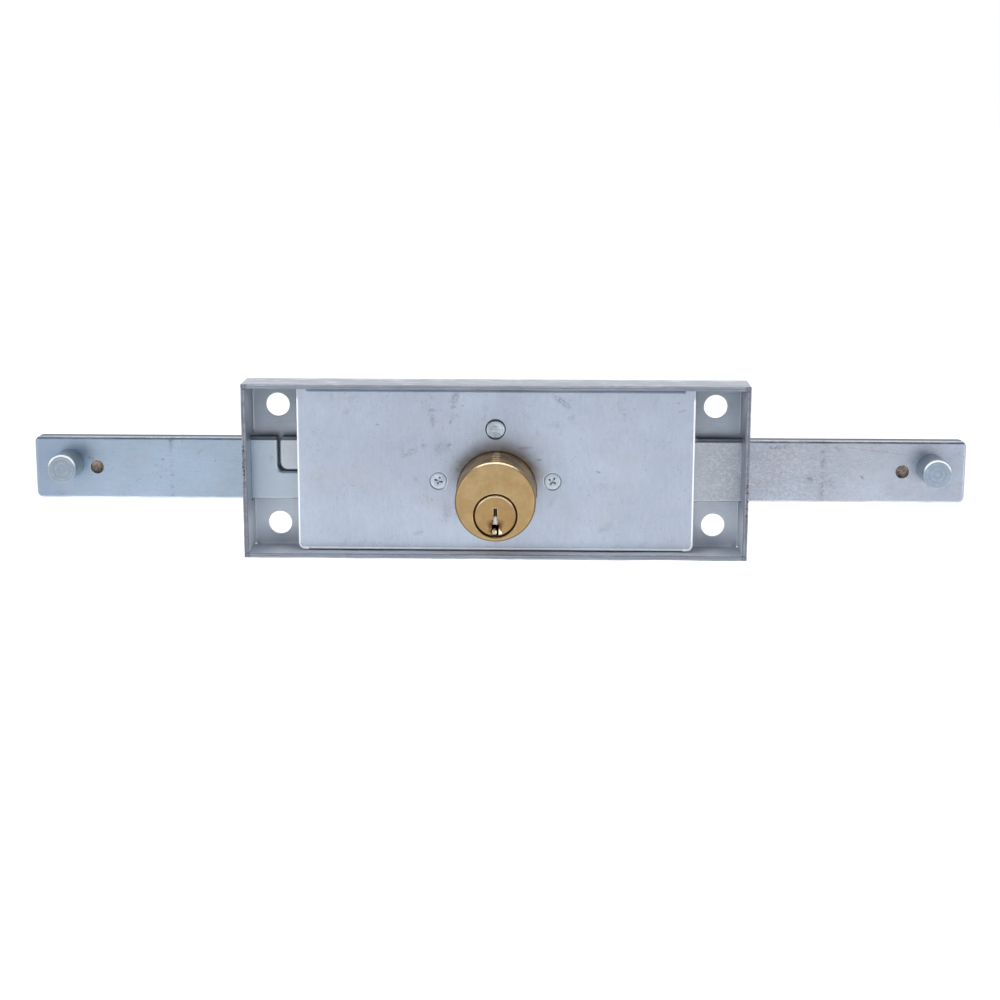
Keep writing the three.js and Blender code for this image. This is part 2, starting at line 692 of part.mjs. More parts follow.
function tailBush() {
  const outer = roundAlongY(axisX, PLUG.z, -CASE.sheet, 0, BUSH.outer, BUSH.outer, 24);
  return cut(outer, roundAlongY(axisX, PLUG.z, -3, 1, BUSH.inner, BUSH.inner, 24));
}

// A bent strip: an eye round the anchor post, a slope under the stop post, and a flat nose
// that drops into a notch of the right bar's tail.
function detentSpring() {
  const [anchorX, anchorZ] = SPRING_POSTS.anchor;
  const eye = STUD.radius + 0.15 + DETENT.strip / 2;
  const noseZ = barTop - DETENT.depth + DETENT.strip / 2 + 0.2;
  const centreLine = [];
  for (let degrees = 240; degrees >= 90; degrees -= 25) {
    const angle = THREE.MathUtils.degToRad(degrees);
    centreLine.push(new THREE.Vector2(anchorX + eye * Math.cos(angle), anchorZ + eye * Math.sin(angle)));
  }
  centreLine.push(
    new THREE.Vector2(anchorX + 1, anchorZ + eye),
    new THREE.Vector2(DETENT.x - 6.5, noseZ + 4),
    new THREE.Vector2(DETENT.x - 0.9, noseZ),
    new THREE.Vector2(DETENT.x + 0.9, noseZ),
    new THREE.Vector2(DETENT.x + 5, noseZ + 4.2),
  );
  const offset = (side) => centreLine.map((point, i) => {
    const before = centreLine[Math.max(i - 1, 0)];
    const after = centreLine[Math.min(i + 1, centreLine.length - 1)];
    const along = after.clone().sub(before).normalize();
    return new THREE.Vector2(point.x - side * along.y, point.y + side * along.x);
  });
  const half = DETENT.strip / 2;
  return plateXZ(new THREE.Shape([...offset(half), ...offset(-half).reverse()]), DETENT.front, DETENT.rear);
}

// ---------------------------------------------------------------------------------------------
// Assembly
// ---------------------------------------------------------------------------------------------

place('case_tray', caseTray(), 'caseZinc');
place('cover_plate', coverPlate(), 'coverZinc');
place('center_pillar', pillar(), 'steel');

place('left_bar', leftBar(), 'barZinc');
place('left_peg', peg(PEG.leftX), 'barZinc');
place('right_bar', rightBar(), 'barZinc');
place('right_peg', peg(PEG.rightX), 'barZinc');

place('cylinder_body', cylinderBody(), 'brass');
place('plug', plug(), 'brass');
place('plug_clip', plugClip(), 'springSteel');
place('drive_pinion', drivePinion(), 'steel');
place('tail_bush', tailBush(), 'bronze');

for (let i = 0; i < PINS.count; i += 1) {
  place(`key_pin_${i + 1}`, keyPin(i), 'steel');
  place(`driver_pin_${i + 1}`, driverPin(i), 'brass');
  place(`pin_spring_${i + 1}`, pinSpring(i), 'springSteel');
  place(`chamber_cap_${i + 1}`, chamberCap(i), 'brass');
}

place('retaining_fork', retainingFork(), 'steel');
place('fork_screw_left', coverScrew(-1), 'steel');
place('fork_screw_right', coverScrew(1), 'steel');

place('guide_stud_left', stud(GUIDE_STUDS.left), 'steel');
place('guide_stud_right', stud(GUIDE_STUDS.right), 'steel');
place('spring_anchor_post', stud(SPRING_POSTS.anchor), 'steel');
place('spring_stop_post', stud(SPRING_POSTS.stop), 'steel');
place('detent_spring', detentSpring(), 'springSteel');

export default group;
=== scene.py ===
import json
import math

import bmesh
import bpy
from mathutils import Matrix, Vector, noise

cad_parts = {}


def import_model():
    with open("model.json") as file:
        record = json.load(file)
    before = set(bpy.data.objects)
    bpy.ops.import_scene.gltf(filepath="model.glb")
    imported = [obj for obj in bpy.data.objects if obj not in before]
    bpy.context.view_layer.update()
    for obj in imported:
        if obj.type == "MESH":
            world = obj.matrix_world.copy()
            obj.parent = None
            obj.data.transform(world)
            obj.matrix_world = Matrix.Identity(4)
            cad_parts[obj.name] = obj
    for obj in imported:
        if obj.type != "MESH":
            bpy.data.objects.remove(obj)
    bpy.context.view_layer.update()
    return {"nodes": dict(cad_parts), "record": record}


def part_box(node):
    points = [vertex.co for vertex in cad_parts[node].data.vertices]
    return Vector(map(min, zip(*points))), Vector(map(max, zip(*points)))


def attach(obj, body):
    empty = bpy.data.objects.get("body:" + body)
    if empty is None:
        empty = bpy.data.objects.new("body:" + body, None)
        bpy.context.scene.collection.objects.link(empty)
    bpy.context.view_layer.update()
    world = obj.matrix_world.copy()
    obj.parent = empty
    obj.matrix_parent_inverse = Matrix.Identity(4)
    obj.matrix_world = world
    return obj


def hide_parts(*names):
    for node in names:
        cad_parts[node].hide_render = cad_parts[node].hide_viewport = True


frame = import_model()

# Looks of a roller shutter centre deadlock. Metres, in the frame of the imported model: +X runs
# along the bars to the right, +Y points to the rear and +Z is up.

MM = 0.001
BODY_OF = {node: body for body, nodes in frame["record"]["behaviour"]["bodies"].items() for node in nodes}
SIDES = ("left", "right")
PIN_NUMBERS = range(1, 6)

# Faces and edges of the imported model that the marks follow, in millimetres
CASE_SIDE = 80
CASE_TOP = 28
CASE_FRONT = -16
BAR_TOP = 9.5
BAR_BOTTOM = -10.6
BAR_FRONT = -6.7
PEG_FRONT = -17.7
CYLINDER_FRONT = -30
CYLINDER_RADIUS = 12.6


def centre_of(node):
    low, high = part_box(node)
    return (low + high) / 2


def millimetres(*values):
    return tuple(value * MM for value in values)


def linear(red, green, blue):
    """A colour given as 0 to 255 on screen, as the linear values that a shader takes."""
    def channel(value):
        share = value / 255
        return share / 12.92 if share <= 0.04045 else ((share + 0.055) / 1.055) ** 2.4
    return (channel(red), channel(green), channel(blue), 1.0)


# ---------------------------------------------------------------------------------------------
# Node trees
# ---------------------------------------------------------------------------------------------

class Finish:
    """One material's node tree, with the few building blocks that the metals share. Its sizes and
    places along an axis are given in millimetres."""

    def __init__(self, name):
        self.material = bpy.data.materials.new(name)
        self.material.use_nodes = True
        self.tree = self.material.node_tree
        self.shader = self.tree.nodes["Principled BSDF"]
        self.place = self.node("ShaderNodeTexCoord").outputs["Object"]

    def node(self, kind, **settings):
        made = self.tree.nodes.new(kind)
        for key, value in settings.items():
            setattr(made, key, value)
        return made

    def feed(self, socket, value):
        if isinstance(value, bpy.types.NodeSocket):
            self.tree.links.new(value, socket)
        else:
            socket.default_value = value

    def math(self, operation, first, second=0.0):
        made = self.node("ShaderNodeMath", operation=operation)
        self.feed(made.inputs[0], first)
        self.feed(made.inputs[1], second)
        return made.outputs[0]

    def scaled(self, value, factor, added):
        """value * factor + added."""
        made = self.node("ShaderNodeMath", operation="MULTIPLY_ADD")
        for socket, given in zip(made.inputs, (value, factor, added)):
            self.feed(socket, given)
        return made.outputs[0]

    def product(self, *values):
        total = values[0]
        for value in values[1:]:
            total = self.math("MULTIPLY", total, value)
        return total

    def largest(self, *values):
        total = values[0]
        for value in values[1:]:
            total = self.math("MAXIMUM", total, value)
        return total

    def vector(self, operation, first, second=(0, 0, 0), output="Vector"):
        made = self.node("ShaderNodeVectorMath", operation=operation)
        self.feed(made.inputs[0], first)
        self.feed(made.inputs[1], second)
        return made.outputs[output]

    def part(self, vector, axis):
        made = self.node("ShaderNodeSeparateXYZ")
        self.feed(made.inputs[0], vector)
        return made.outputs[axis]

    def spread(self, value, low, high, to_low=0.0, to_high=1.0):
        """value from low to high becomes to_low to to_high, eased at both ends."""
        made = self.node("ShaderNodeMapRange", interpolation_type="SMOOTHSTEP")
        for socket, given in zip(made.inputs[:5], (value, low, high, to_low, to_high)):
            self.feed(socket, given)
        return made.outputs[0]

    def span(self, length, low, high, to_low=0.0, to_high=1.0):
        """As spread, for a length or a place."""
        return self.spread(length, low * MM, high * MM, to_low, to_high)

    def along(self, axis, low, high, to_low=0.0, to_high=1.0):
        """As spread, for the place along an axis."""
        return self.span(self.part(self.place, axis), low, high, to_low, to_high)

    def band(self, axis, low, high, soft):
        """1 where the place along the axis is between low and high, 0 outside, over a soft edge."""
        value = self.part(self.place, axis)
        rise = self.span(value, low - soft, low + soft)
        fall = self.span(value, high - soft, high + soft, 1.0, 0.0)
        return self.math("MULTIPLY", rise, fall)

    def mix(self, share, first, second):
        made = self.node("ShaderNodeMix", data_type="RGBA")
        self.feed(made.inputs[0], share)
        self.feed(made.inputs[6], first)
        self.feed(made.inputs[7], second)
        return made.outputs[2]

    def marked(self, tone, marks):
        """The tone with marks, each a share and a colour, laid over it in turn."""
        for share, colour in marks:
            tone = self.mix(share, tone, colour)
        return tone

    def shaded(self, tone, shade):
        """The tone times the shade."""
        made = self.node("ShaderNodeVectorMath", operation="SCALE")
        self.feed(made.inputs[0], tone)
        self.feed(made.inputs["Scale"], shade)
        return made.outputs[0]

    def noise(self, size, detail=3.0, roughness=0.55, stretch=(1, 1, 1), shift=0.0, place=None):
        """Noise whose features are about this size, longer along an axis where stretch is over 1."""
        mapping = self.node("ShaderNodeMapping")
        self.feed(mapping.inputs["Vector"], self.place if place is None else place)
        mapping.inputs["Location"].default_value = (shift, shift, shift)
        mapping.inputs["Scale"].default_value = tuple(1 / (size * MM * axis) for axis in stretch)
        made = self.node("ShaderNodeTexNoise")
        self.feed(made.inputs["Vector"], mapping.outputs[0])
        made.inputs["Scale"].default_value = 1.0
        made.inputs["Detail"].default_value = detail
        made.inputs["Roughness"].default_value = roughness
        return made.outputs[0]

    def edges(self, radius):
        """Near 1 on a sharp or rounded edge and 0 on flat ground."""
        rounded = self.node("ShaderNodeBevel", samples=4)
        rounded.inputs["Radius"].default_value = radius * MM
        flat = self.node("ShaderNodeNewGeometry").outputs["Normal"]
        match = self.vector("DOT_PRODUCT", rounded.outputs[0], flat, output="Value")
        return self.spread(match, 0.999, 0.88, 0.0, 1.0)

    def smudges(self, spots, breakup):
        """Smudges at chosen places: (x, z, half length, half height, turn in degrees, strength)."""
        shares = []
        for x, z, long, high, turn, strength in spots:
            mapping = self.node("ShaderNodeMapping", vector_type="TEXTURE")
            self.feed(mapping.inputs["Vector"], self.place)
            mapping.inputs["Location"].default_value = millimetres(x, 0, z)
            mapping.inputs["Rotation"].default_value = (0, math.radians(-turn), 0)
            mapping.inputs["Scale"].default_value = (long * MM, 1.0, high * MM)
            distance = self.vector("LENGTH", mapping.outputs[0], output="Value")
            shares.append(self.spread(distance, 1.0, 0.3, 0.0, strength))
        return self.product(self.largest(*shares), breakup)

    def bump(self, height, distance, strength, below=None):
        made = self.node("ShaderNodeBump")
        made.inputs["Strength"].default_value = strength
        made.inputs["Distance"].default_value = distance * MM
        self.feed(made.inputs["Height"], height)
        if below is not None:
            self.feed(made.inputs["Normal"], below)
        return made.outputs[0]

    def finish(self, colour, metallic, roughness, normal):
        self.feed(self.shader.inputs["Base Color"], colour)
        self.feed(self.shader.inputs["Metallic"], metallic)
        self.feed(self.shader.inputs["Roughness"], roughness)
        self.feed(self.shader.inputs["Normal"], normal)
        return self.material


# ---------------------------------------------------------------------------------------------
# Metals
# ---------------------------------------------------------------------------------------------

GRIME = linear(78, 72, 72)
WORN_EDGE = linear(236, 240, 244)
# Dark brown painted into the gap round the plug: painted shade.
GAP_SHADE = linear(76, 44, 16)


def from_centre(f, middle):
    """The place from the middle of a round piece, and how far it is from the Y axis there."""
    offset = f.vector("SUBTRACT", f.place, (middle.x, 0, middle.z))
    return offset, f.vector("LENGTH", f.vector("MULTIPLY", offset, (1, 0, 1)), output="Value")


def zinc(name, light, dark, warm, rough, extra, spots=(), smear=None, brushed="X", edge=0.35,
         mottling=0.18):
    """Zinc plated steel: clouded tone, faint rolling lines along the brushed axis, specks, handling
    marks and worn edges. spots are smudges, smear is an upright line as (place along X, strength),
    and extra(f) adds a second kind of mark, as (share, colour)."""
    f = Finish(name)
    clouds = f.noise(24, detail=4, roughness=0.6, shift=3.1)
    tone = f.mix(f.spread(clouds, 0.32, 0.68), light, dark)
    blush = f.noise(13, detail=4, roughness=0.6, stretch=(1.5, 1, 1), shift=7.7)
    tone = f.mix(f.spread(blush, 0.48, 0.75, 0.0, 0.6), tone, warm)
    drawn_out = (8, 1, 1) if brushed == "X" else (1, 1, 5)
    rolling = f.noise(0.6, detail=3, roughness=0.6, stretch=drawn_out, shift=1.3)
    mottle = f.noise(1.5, detail=5, roughness=0.75, shift=5.9)
    lines = f.spread(rolling, 0.2, 0.8, 0.94 - mottling / 2, 1.02 - mottling / 2)
    tone = f.shaded(tone, f.scaled(mottle, mottling, lines))

    grain = f.noise(0.5, detail=2, roughness=0.5, shift=8.8)
    patches = f.noise(7, detail=4, roughness=0.7, shift=9.4)
    dirt = f.product(f.spread(grain, 0.65, 0.72), f.spread(patches, 0.44, 0.6, 0.1, 1.0), 0.7)
    breakup = f.spread(f.noise(0.8, detail=5, roughness=0.75, shift=2.2), 0.36, 0.62)
    if spots:
        dirt = f.largest(dirt, f.smudges(spots, breakup))
    if smear is not None:
        at, strength = smear
        line = f.band("X", at - 0.5, at + 0.5, 0.7)
        gaps = f.spread(f.noise(2.4, detail=3, stretch=(6, 6, 1), shift=4.4), 0.44, 0.6)
        dirt = f.largest(dirt, f.product(line, gaps, breakup, strength))
    tone = f.mix(f.math("MULTIPLY", dirt, 0.75), tone, GRIME)
    wear_and_highlight = f.product(f.edges(0.4), f.spread(breakup, 0, 1, 0.4, 1.0), edge)
    tone = f.mix(wear_and_highlight, tone, WORN_EDGE)

    marks = extra(f)
    tone = f.marked(tone, marks)
    dull = f.math("MULTIPLY", dirt, 0.7)
    for share, _ in marks:
        dull = f.largest(dull, f.math("MULTIPLY", share, 0.85))
    lustre = f.scaled(mottle, 0.14, rough - 0.07)
    roughness = f.math("MAXIMUM", lustre, f.math("MULTIPLY", dull, 0.8))
    normal = f.bump(mottle, 0.03, 0.3)
    normal = f.bump(rolling, 0.006, 0.25, normal)
    normal = f.bump(grain, 0.012, 0.3, normal)
    return f.finish(tone, f.math("SUBTRACT", 1.0, dull), roughness, normal)


def brass(name, centre, light, dark, rough, side_reflection, extra):
    """Turned brass: fine rings round an axis along Y, small nicks, a side painted darker brown as painted
    reflection, and a rim with a painted highlight above and painted shade below. extra(f) adds more marks, as
    (share, colour)."""
    f = Finish(name)
    offset, radius = from_centre(f, centre)
    ring_place = f.node("ShaderNodeCombineXYZ")
    f.feed(ring_place.inputs["X"], radius)
    f.feed(ring_place.inputs["Y"], f.part(f.place, "Y"))
    rings = f.noise(0.16, detail=3, roughness=0.7, place=ring_place.outputs[0])
    clouds = f.noise(5, detail=4, roughness=0.6, shift=2.5)
    tone = f.mix(f.spread(clouds, 0.32, 0.68), light, dark)
    fine = f.noise(0.9, detail=5, roughness=0.75, shift=6.2)
    tone = f.shaded(tone, f.scaled(fine, 0.3, f.spread(rings, 0.3, 0.7, 0.78, 0.86)))
    nicks = f.spread(f.noise(0.55, detail=3, roughness=0.7, shift=8.1), 0.64, 0.72, 0.0, 0.4)
    tone = f.mix(nicks, tone, linear(96, 72, 40))

    # The side is painted a darker brown: a painted reflection.
    side = f.along("Y", CYLINDER_FRONT + 0.7, CYLINDER_FRONT + 1.4)
    brown_reflection = f.product(side, f.spread(fine, 0.3, 0.6, 0.86, 1.0), side_reflection)
    reflection_browns = f.mix(f.spread(clouds, 0.35, 0.6), linear(176, 146, 104), linear(126, 112, 96))
    tone = f.mix(brown_reflection, tone, reflection_browns)
    # Painted highlight on the upper rim and painted shade on the lower rim.
    height = f.math("DIVIDE", f.part(offset, "Z"), radius)
    wear_and_highlight = f.mix(f.spread(height, 0.1, 0.7), linear(96, 82, 66), linear(255, 246, 224))
    rim = f.math("MULTIPLY", f.edges(0.35), f.spread(side, 0, 1, 0.85, 0.1))
    tone = f.marked(f.mix(rim, tone, wear_and_highlight), extra(f))
    lustre = f.scaled(clouds, 0.16, f.spread(brown_reflection, 0, 1, rough - 0.08, 0.5))
    normal = f.bump(rings, 0.006, 0.4)
    normal = f.bump(fine, 0.02, 0.3, normal)
    return f.finish(tone, 1.0, lustre, normal)


def plain_metal(name, light, dark, rough, size=3.0, dirt=0.4, extra=None, metallic=1.0):
    """Machined or drawn metal with a mottled tone, oil stains and a fine grain."""
    f = Finish(name)
    clouds = f.noise(size, detail=5, roughness=0.65, shift=4.7)
    tone = f.mix(f.spread(clouds, 0.3, 0.7), light, dark)
    stains = f.spread(f.noise(1.1, detail=4, roughness=0.7, shift=0.6), 0.58, 0.74, 0.0, dirt)
    tone = f.mix(stains, tone, GRIME)
    tone = f.mix(f.math("MULTIPLY", f.edges(0.25), 0.35), tone, WORN_EDGE)
    tone = f.marked(tone, extra(f) if extra else [])
    grain = f.noise(0.25, detail=3, roughness=0.6, shift=3.3)
    lustre = f.scaled(clouds, 0.22, rough - 0.11)
    return f.finish(tone, metallic, lustre, f.bump(grain, 0.012, 0.5))


def hole_shade_disc():
    """A brown disc that stands in for the shaded surface seen through the bars' small holes: painted shade,
    with paler patches of painted light.
    """
    f = Finish("hole_shade_disc")
    lumps = f.noise(0.9, detail=5, roughness=0.7, shift=1.1)
    tone = f.mix(f.spread(lumps, 0.35, 0.7), linear(126, 108, 96), linear(196, 176, 156))
    return f.finish(tone, 0.1, f.spread(lumps, 0.3, 0.7, 0.85, 0.55), f.bump(lumps, 0.1, 0.5))


def case_marks(f):
    """Dull sheared rims with painted shade in thin lines along their edges, rust dashes on the side flanges,
    painted highlight patches on the top and along the bottom fold, and painted light low in the tray and
    painted shade high in it."""
    past_side = CASE_SIDE + 1
    rust_from = CASE_SIDE - 0.9
    flange_from = CASE_SIDE - 2
    rim = f.band("Y", CASE_FRONT - 0.5, CASE_FRONT + 0.25, 0.1)
    streaks = f.spread(f.noise(0.9, detail=4, roughness=0.7, stretch=(4, 1, 4), shift=4.9), 0.3, 0.65)
    left = f.product(f.band("X", -past_side, -rust_from, 0.1), f.band("Z", -6, 9.5, 2))
    right = f.product(f.band("X", rust_from, past_side, 0.1), f.band("Z", -15, -2.5, 2))
    dashes = f.spread(f.noise(0.8, detail=4, roughness=0.7, stretch=(1.5, 1, 1), shift=7.2), 0.5, 0.56)
    rust = f.product(f.largest(left, right), rim, dashes, 0.85)
    flanges = f.largest(f.band("X", -past_side, -flange_from, 0.1), f.band("X", flange_from, past_side, 0.1))
    shade = f.product(rim, f.spread(streaks, 0, 1, 0.25, 0.6), f.spread(flanges, 0, 1, 0.85, 1.7))

    # Painted shade: thin dark lines along the edges of the rims' front faces.
    lines = []
    for axis, half, depths in (("Z", CASE_TOP, (0.85, 1.4)), ("X", CASE_SIDE, (0.55, 1.35))):
        value = f.math("ABSOLUTE", f.part(f.place, axis))
        for depth in depths:
            away = f.math("ABSOLUTE", f.math("SUBTRACT", value, (half - depth) * MM))
            lines.append(f.span(away, 0.22, 0.08))
    rim_edge_shade = f.product(f.largest(*lines), rim, f.spread(streaks, 0, 1, 0.8, 0.35))
    # Painted highlight along the bottom fold.
    fold_highlight = f.product(f.band("Z", -26.6, -25.9, 0.15), f.band("Y", -2.4, -1.3, 0.15))

    up = f.part(f.place, "Z")
    top = f.span(up, CASE_TOP - 0.3, CASE_TOP - 0.05)
    # Painted highlight patches on the top flange, where its dents catch the light.
    ragged = f.noise(2.4, detail=5, roughness=0.7, stretch=(3, 1, 1), shift=6.6)
    behind = f.along("Y", -8, -1, 0.0, 0.1)
    scuffs_and_highlights = f.product(top, f.spread(f.math("ADD", ragged, behind), 0.5, 0.72, 0.0, 0.6))
    # Painted light low in the tray and painted shade high in it.
    inside = f.product(f.along("Y", CASE_FRONT + 0.2, CASE_FRONT + 0.8), f.math("SUBTRACT", 1.0, top))
    painted_light_low = f.product(inside, f.span(up, -8, -24, 0.0, 0.75))
    painted_shade_high = f.product(inside, f.span(up, 8, 24, 0.0, 0.5))
    return [
        (f.math("MULTIPLY", top, 0.5), linear(178, 183, 194)),
        (scuffs_and_highlights, linear(236, 238, 244)),
        (painted_light_low, linear(216, 222, 232)),
        (painted_shade_high, linear(128, 140, 150)),
        (f.math("MULTIPLY", fold_highlight, 0.6), linear(236, 240, 238)),
        (shade, linear(116, 118, 130)),
        (rim_edge_shade, linear(82, 86, 98)),
        (rust, linear(74, 42, 48)),
    ]


def cover_marks(f):
    """Grey scuffs that are heavier left of the rivet, a painted highlight line just inside the cover's border
    along its bends, and a painted shadow and painted brown reflection of the cylinder on the cover above it."""
    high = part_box("cover_plate")[1]
    corner = 2 * MM
    square = (high.x - corner, 0, high.z - 0.4 * MM - corner)
    past = f.vector("SUBTRACT", f.vector("ABSOLUTE", f.place), square)
    past = f.vector("MULTIPLY", f.vector("MAXIMUM", past, (0, 0, 0)), (1, 0, 1))
    border = f.vector("LENGTH", past, output="Value")
    # Painted highlight along the cover's bent edges.
    line = f.product(f.span(border, 1.35, 1.55), f.span(border, 2.0, 2.2, 1.0, 0.0))
    lower = f.along("Z", 22, 24, 1.0, 0.0)
    bottom_highlight = f.math("MULTIPLY", f.band("Z", -25.65, -25.1, 0.12), 0.9)
    bend_highlight = f.largest(f.product(line, lower, 0.9), bottom_highlight)

    # Painted shadow of the cylinder on the cover above it, and a painted brown reflection of its brass next
    # to it.
    offset, radius = from_centre(f, centre_of("cylinder_body"))
    above = f.span(f.part(offset, "Z"), 0, 9)
    near = f.span(radius, CYLINDER_RADIUS - 0.4, CYLINDER_RADIUS + 5.4, 1.0, 0.0)
    mottled = f.spread(f.noise(2.2, detail=4, roughness=0.65, shift=3.9), 0.3, 0.62, 0.72, 0.98)
    touching = f.span(radius, CYLINDER_RADIUS - 0.2, CYLINDER_RADIUS + 2.4, 1.0, 0.0)
    brown_reflection = f.product(touching, above, f.span(f.part(offset, "X"), -3, 5, 0.1, 0.7))
    scuffs_and_highlights = f.spread(f.noise(5, detail=6, roughness=0.8, shift=12.5), 0.55, 0.68, 0.0, 0.5)
    left_of_rivet = f.product(f.band("X", -24, -10, 4), f.band("Z", -18, 24, 4))
    return [
        (f.product(scuffs_and_highlights, f.spread(left_of_rivet, 0, 1, 0.5, 1.3)), linear(122, 118, 124)),
        (bend_highlight, linear(250, 252, 255)),
        (f.product(near, above, mottled), linear(104, 98, 94)),
        (brown_reflection, linear(116, 94, 66)),
    ]


def peg_marks(node):
    """Faint turning rings on a peg's face, a painted highlight on its upper rim, and a duller side."""
    ring_pitch = 1.5 * MM

    def marks(f):
        offset, radius = from_centre(f, centre_of(node))
        wave = f.math("SINE", f.math("MULTIPLY", radius, 2 * math.pi / ring_pitch))
        face = f.along("Y", PEG_FRONT + 0.3, PEG_FRONT + 0.6, 1.0, 0.0)
        broken = f.spread(f.noise(1.8, detail=4, roughness=0.7, shift=8.2), 0.35, 0.6)
        rings = f.product(f.spread(wave, 0.2, 1.0), face, broken, 0.14)
        side = f.math("MULTIPLY", f.math("SUBTRACT", 1.0, face), 0.3)
        edge = f.band("Y", PEG_FRONT - 0.05, PEG_FRONT + 0.45, 0.1)
        # Painted highlight on the upper rim.
        rim = f.product(edge, f.span(radius, 3.9, 4.1), f.span(f.part(offset, "Z"), 0.4, 2.6), 0.9)
        return [
            (rings, linear(214, 224, 234)),
            (side, linear(140, 164, 174)),
            (rim, linear(252, 254, 255)),
        ]
    return marks


def body_marks(f):
    """A chamfer with a painted highlight above and painted shade below, and painted shade down the gap round
    the plug.
    """
    offset, radius = from_centre(f, centre_of("cylinder_body"))
    rim = f.span(radius, CYLINDER_RADIUS - 0.65, CYLINDER_RADIUS - 0.5)
    chamfer = f.product(rim, f.along("Y", CYLINDER_FRONT + 0.8, CYLINDER_FRONT + 0.5))
    up = f.part(offset, "Z")
    from_plug = from_centre(f, centre_of("tail_bush"))[1]
    # Painted shade on the lower chamfer, a painted highlight on the upper one, and painted shade in the gap
    # round the plug.
    return [
        (f.product(chamfer, f.span(up, 6, -2), 0.85), linear(104, 86, 68)),
        (f.product(chamfer, f.span(up, 7, 12.5), 0.3), linear(255, 244, 216)),
        (f.product(f.span(from_plug, 7.0, 6.88), 0.8), GAP_SHADE),
    ]


def bar_marks(f):
    """Bars gone darker towards their ends, paler inside the case and scuffed past its right side.
    Each has painted shade on its top face and in a line along its front's upper edge, and a painted highlight
    just above that line and along its lower edge."""
    along = f.part(f.place, "X")
    reach = f.math("ABSOLUTE", along)
    ends = f.largest(f.span(along, -128, -146, 0.0, 0.58), f.span(along, 132, 146, 0.0, 0.22))
    in_case = f.span(reach, CASE_SIDE - 1, CASE_SIDE - 4, 0.0, 0.35)
    front = f.along("Y", BAR_FRONT + 1.1, BAR_FRONT + 1.7, 1.0, 0.0)
    # Painted shade in a line on the front's upper rounding, and a painted highlight just above it.
    dark = f.product(f.band("Z", BAR_TOP - 0.9, BAR_TOP - 0.35, 0.2), front)
    edge_highlight = f.product(f.along("Z", BAR_TOP - 0.25, BAR_TOP - 0.1), front)
    # Painted shade on the bar's top face.
    behind = f.product(f.along("Z", BAR_TOP - 0.3, BAR_TOP - 0.1), f.math("SUBTRACT", 1.0, front))
    # Painted highlight along the bar's lower edge.
    below = f.band("Z", BAR_BOTTOM + 0.15, BAR_BOTTOM + 0.55, 0.12)
    inner = f.product(f.span(along, 60, 70), f.span(reach, 96, 122, 1.0, 0.25))
    wavy = f.noise(1.3, detail=6, roughness=0.8, stretch=(1.6, 1, 1), shift=10.3)
    from_middle = f.math("ABSOLUTE", f.math("SUBTRACT", wavy, 0.5))
    scuffed = f.product(inner, f.spread(from_middle, 0.05, 0.0), 0.75)
    streaks = f.noise(1.6, detail=4, roughness=0.7, stretch=(5, 1, 1), shift=3.6)
    broken = f.spread(streaks, 0.3, 0.6, 0.45, 1.0)
    return [
        (ends, linear(126, 142, 166)),
        (in_case, linear(188, 194, 196)),
        (scuffed, linear(138, 140, 150)),
        (f.product(behind, 0.9), linear(58, 64, 74)),
        (f.product(dark, broken, 0.9), linear(48, 56, 70)),
        (f.product(edge_highlight, 0.15), linear(236, 240, 246)),
        (f.product(below, broken, 0.6), linear(240, 246, 252)),
    ]


def plug_marks(f):
    """A painted highlight on the upper rim, painted shade in the flare beside the keyway, one painted glint
    in it, and painted shade down the gap round the plug."""
    offset, radius = from_centre(f, centre_of("tail_bush"))
    across = f.part(offset, "X")
    up = f.part(offset, "Z")
    front = f.along("Y", CYLINDER_FRONT + 1.1, CYLINDER_FRONT + 1.7, 1.0, 0.0)
    # Painted highlight on the upper rim.
    arch = f.product(f.span(radius, 5.75, 6.1), f.span(up, 2.6, 4.6), front)
    # Painted shade in the flare beside the keyway.
    wide = f.span(f.math("ABSOLUTE", across), 1.5, 3.1, 1.0, 0.0)
    tall = f.product(f.span(up, -0.6, -2.6), f.span(up, -5.6, -5.0))
    shade_breakup = f.spread(f.noise(0.7, detail=4, shift=1.9), 0.25, 0.6, 0.7, 0.95)
    flare_shade = f.product(wide, tall, front, shade_breakup)
    # A painted glint low in the flare.
    slant = f.span(f.math("ADD", across, up), -3.3, -2.9, 1.0, 0.0)
    outer = f.span(across, 2.0, 2.3, 1.0, 0.0)
    painted_glint = f.product(f.band("Z", -16.6, -14.9, 0.2), f.span(across, 0.9, 1.1), slant, outer, front)
    return [
        (f.math("MULTIPLY", arch, 0.75), linear(255, 238, 198)),
        (flare_shade, linear(86, 60, 36)),
        (f.math("MULTIPLY", painted_glint, 0.9), linear(255, 238, 200)),
        (f.span(radius, 6.36, 6.48, 0.0, 0.95), GAP_SHADE),
    ]


def pin_upper_shade(f):
    """Painted shade on the key pins above the middle of the plug."""
    # Painted shade on the upper part of each key pin.
    middle = centre_of("tail_bush").z / MM
    shade_breakup = f.spread(f.noise(0.5, detail=4, roughness=0.7, shift=2.7), 0.2, 0.5, 0.85, 1.0)
    upper = f.along("Z", middle - 0.75, middle - 0.35)
    return [(f.math("MULTIPLY", upper, shade_breakup), linear(64, 36, 20))]


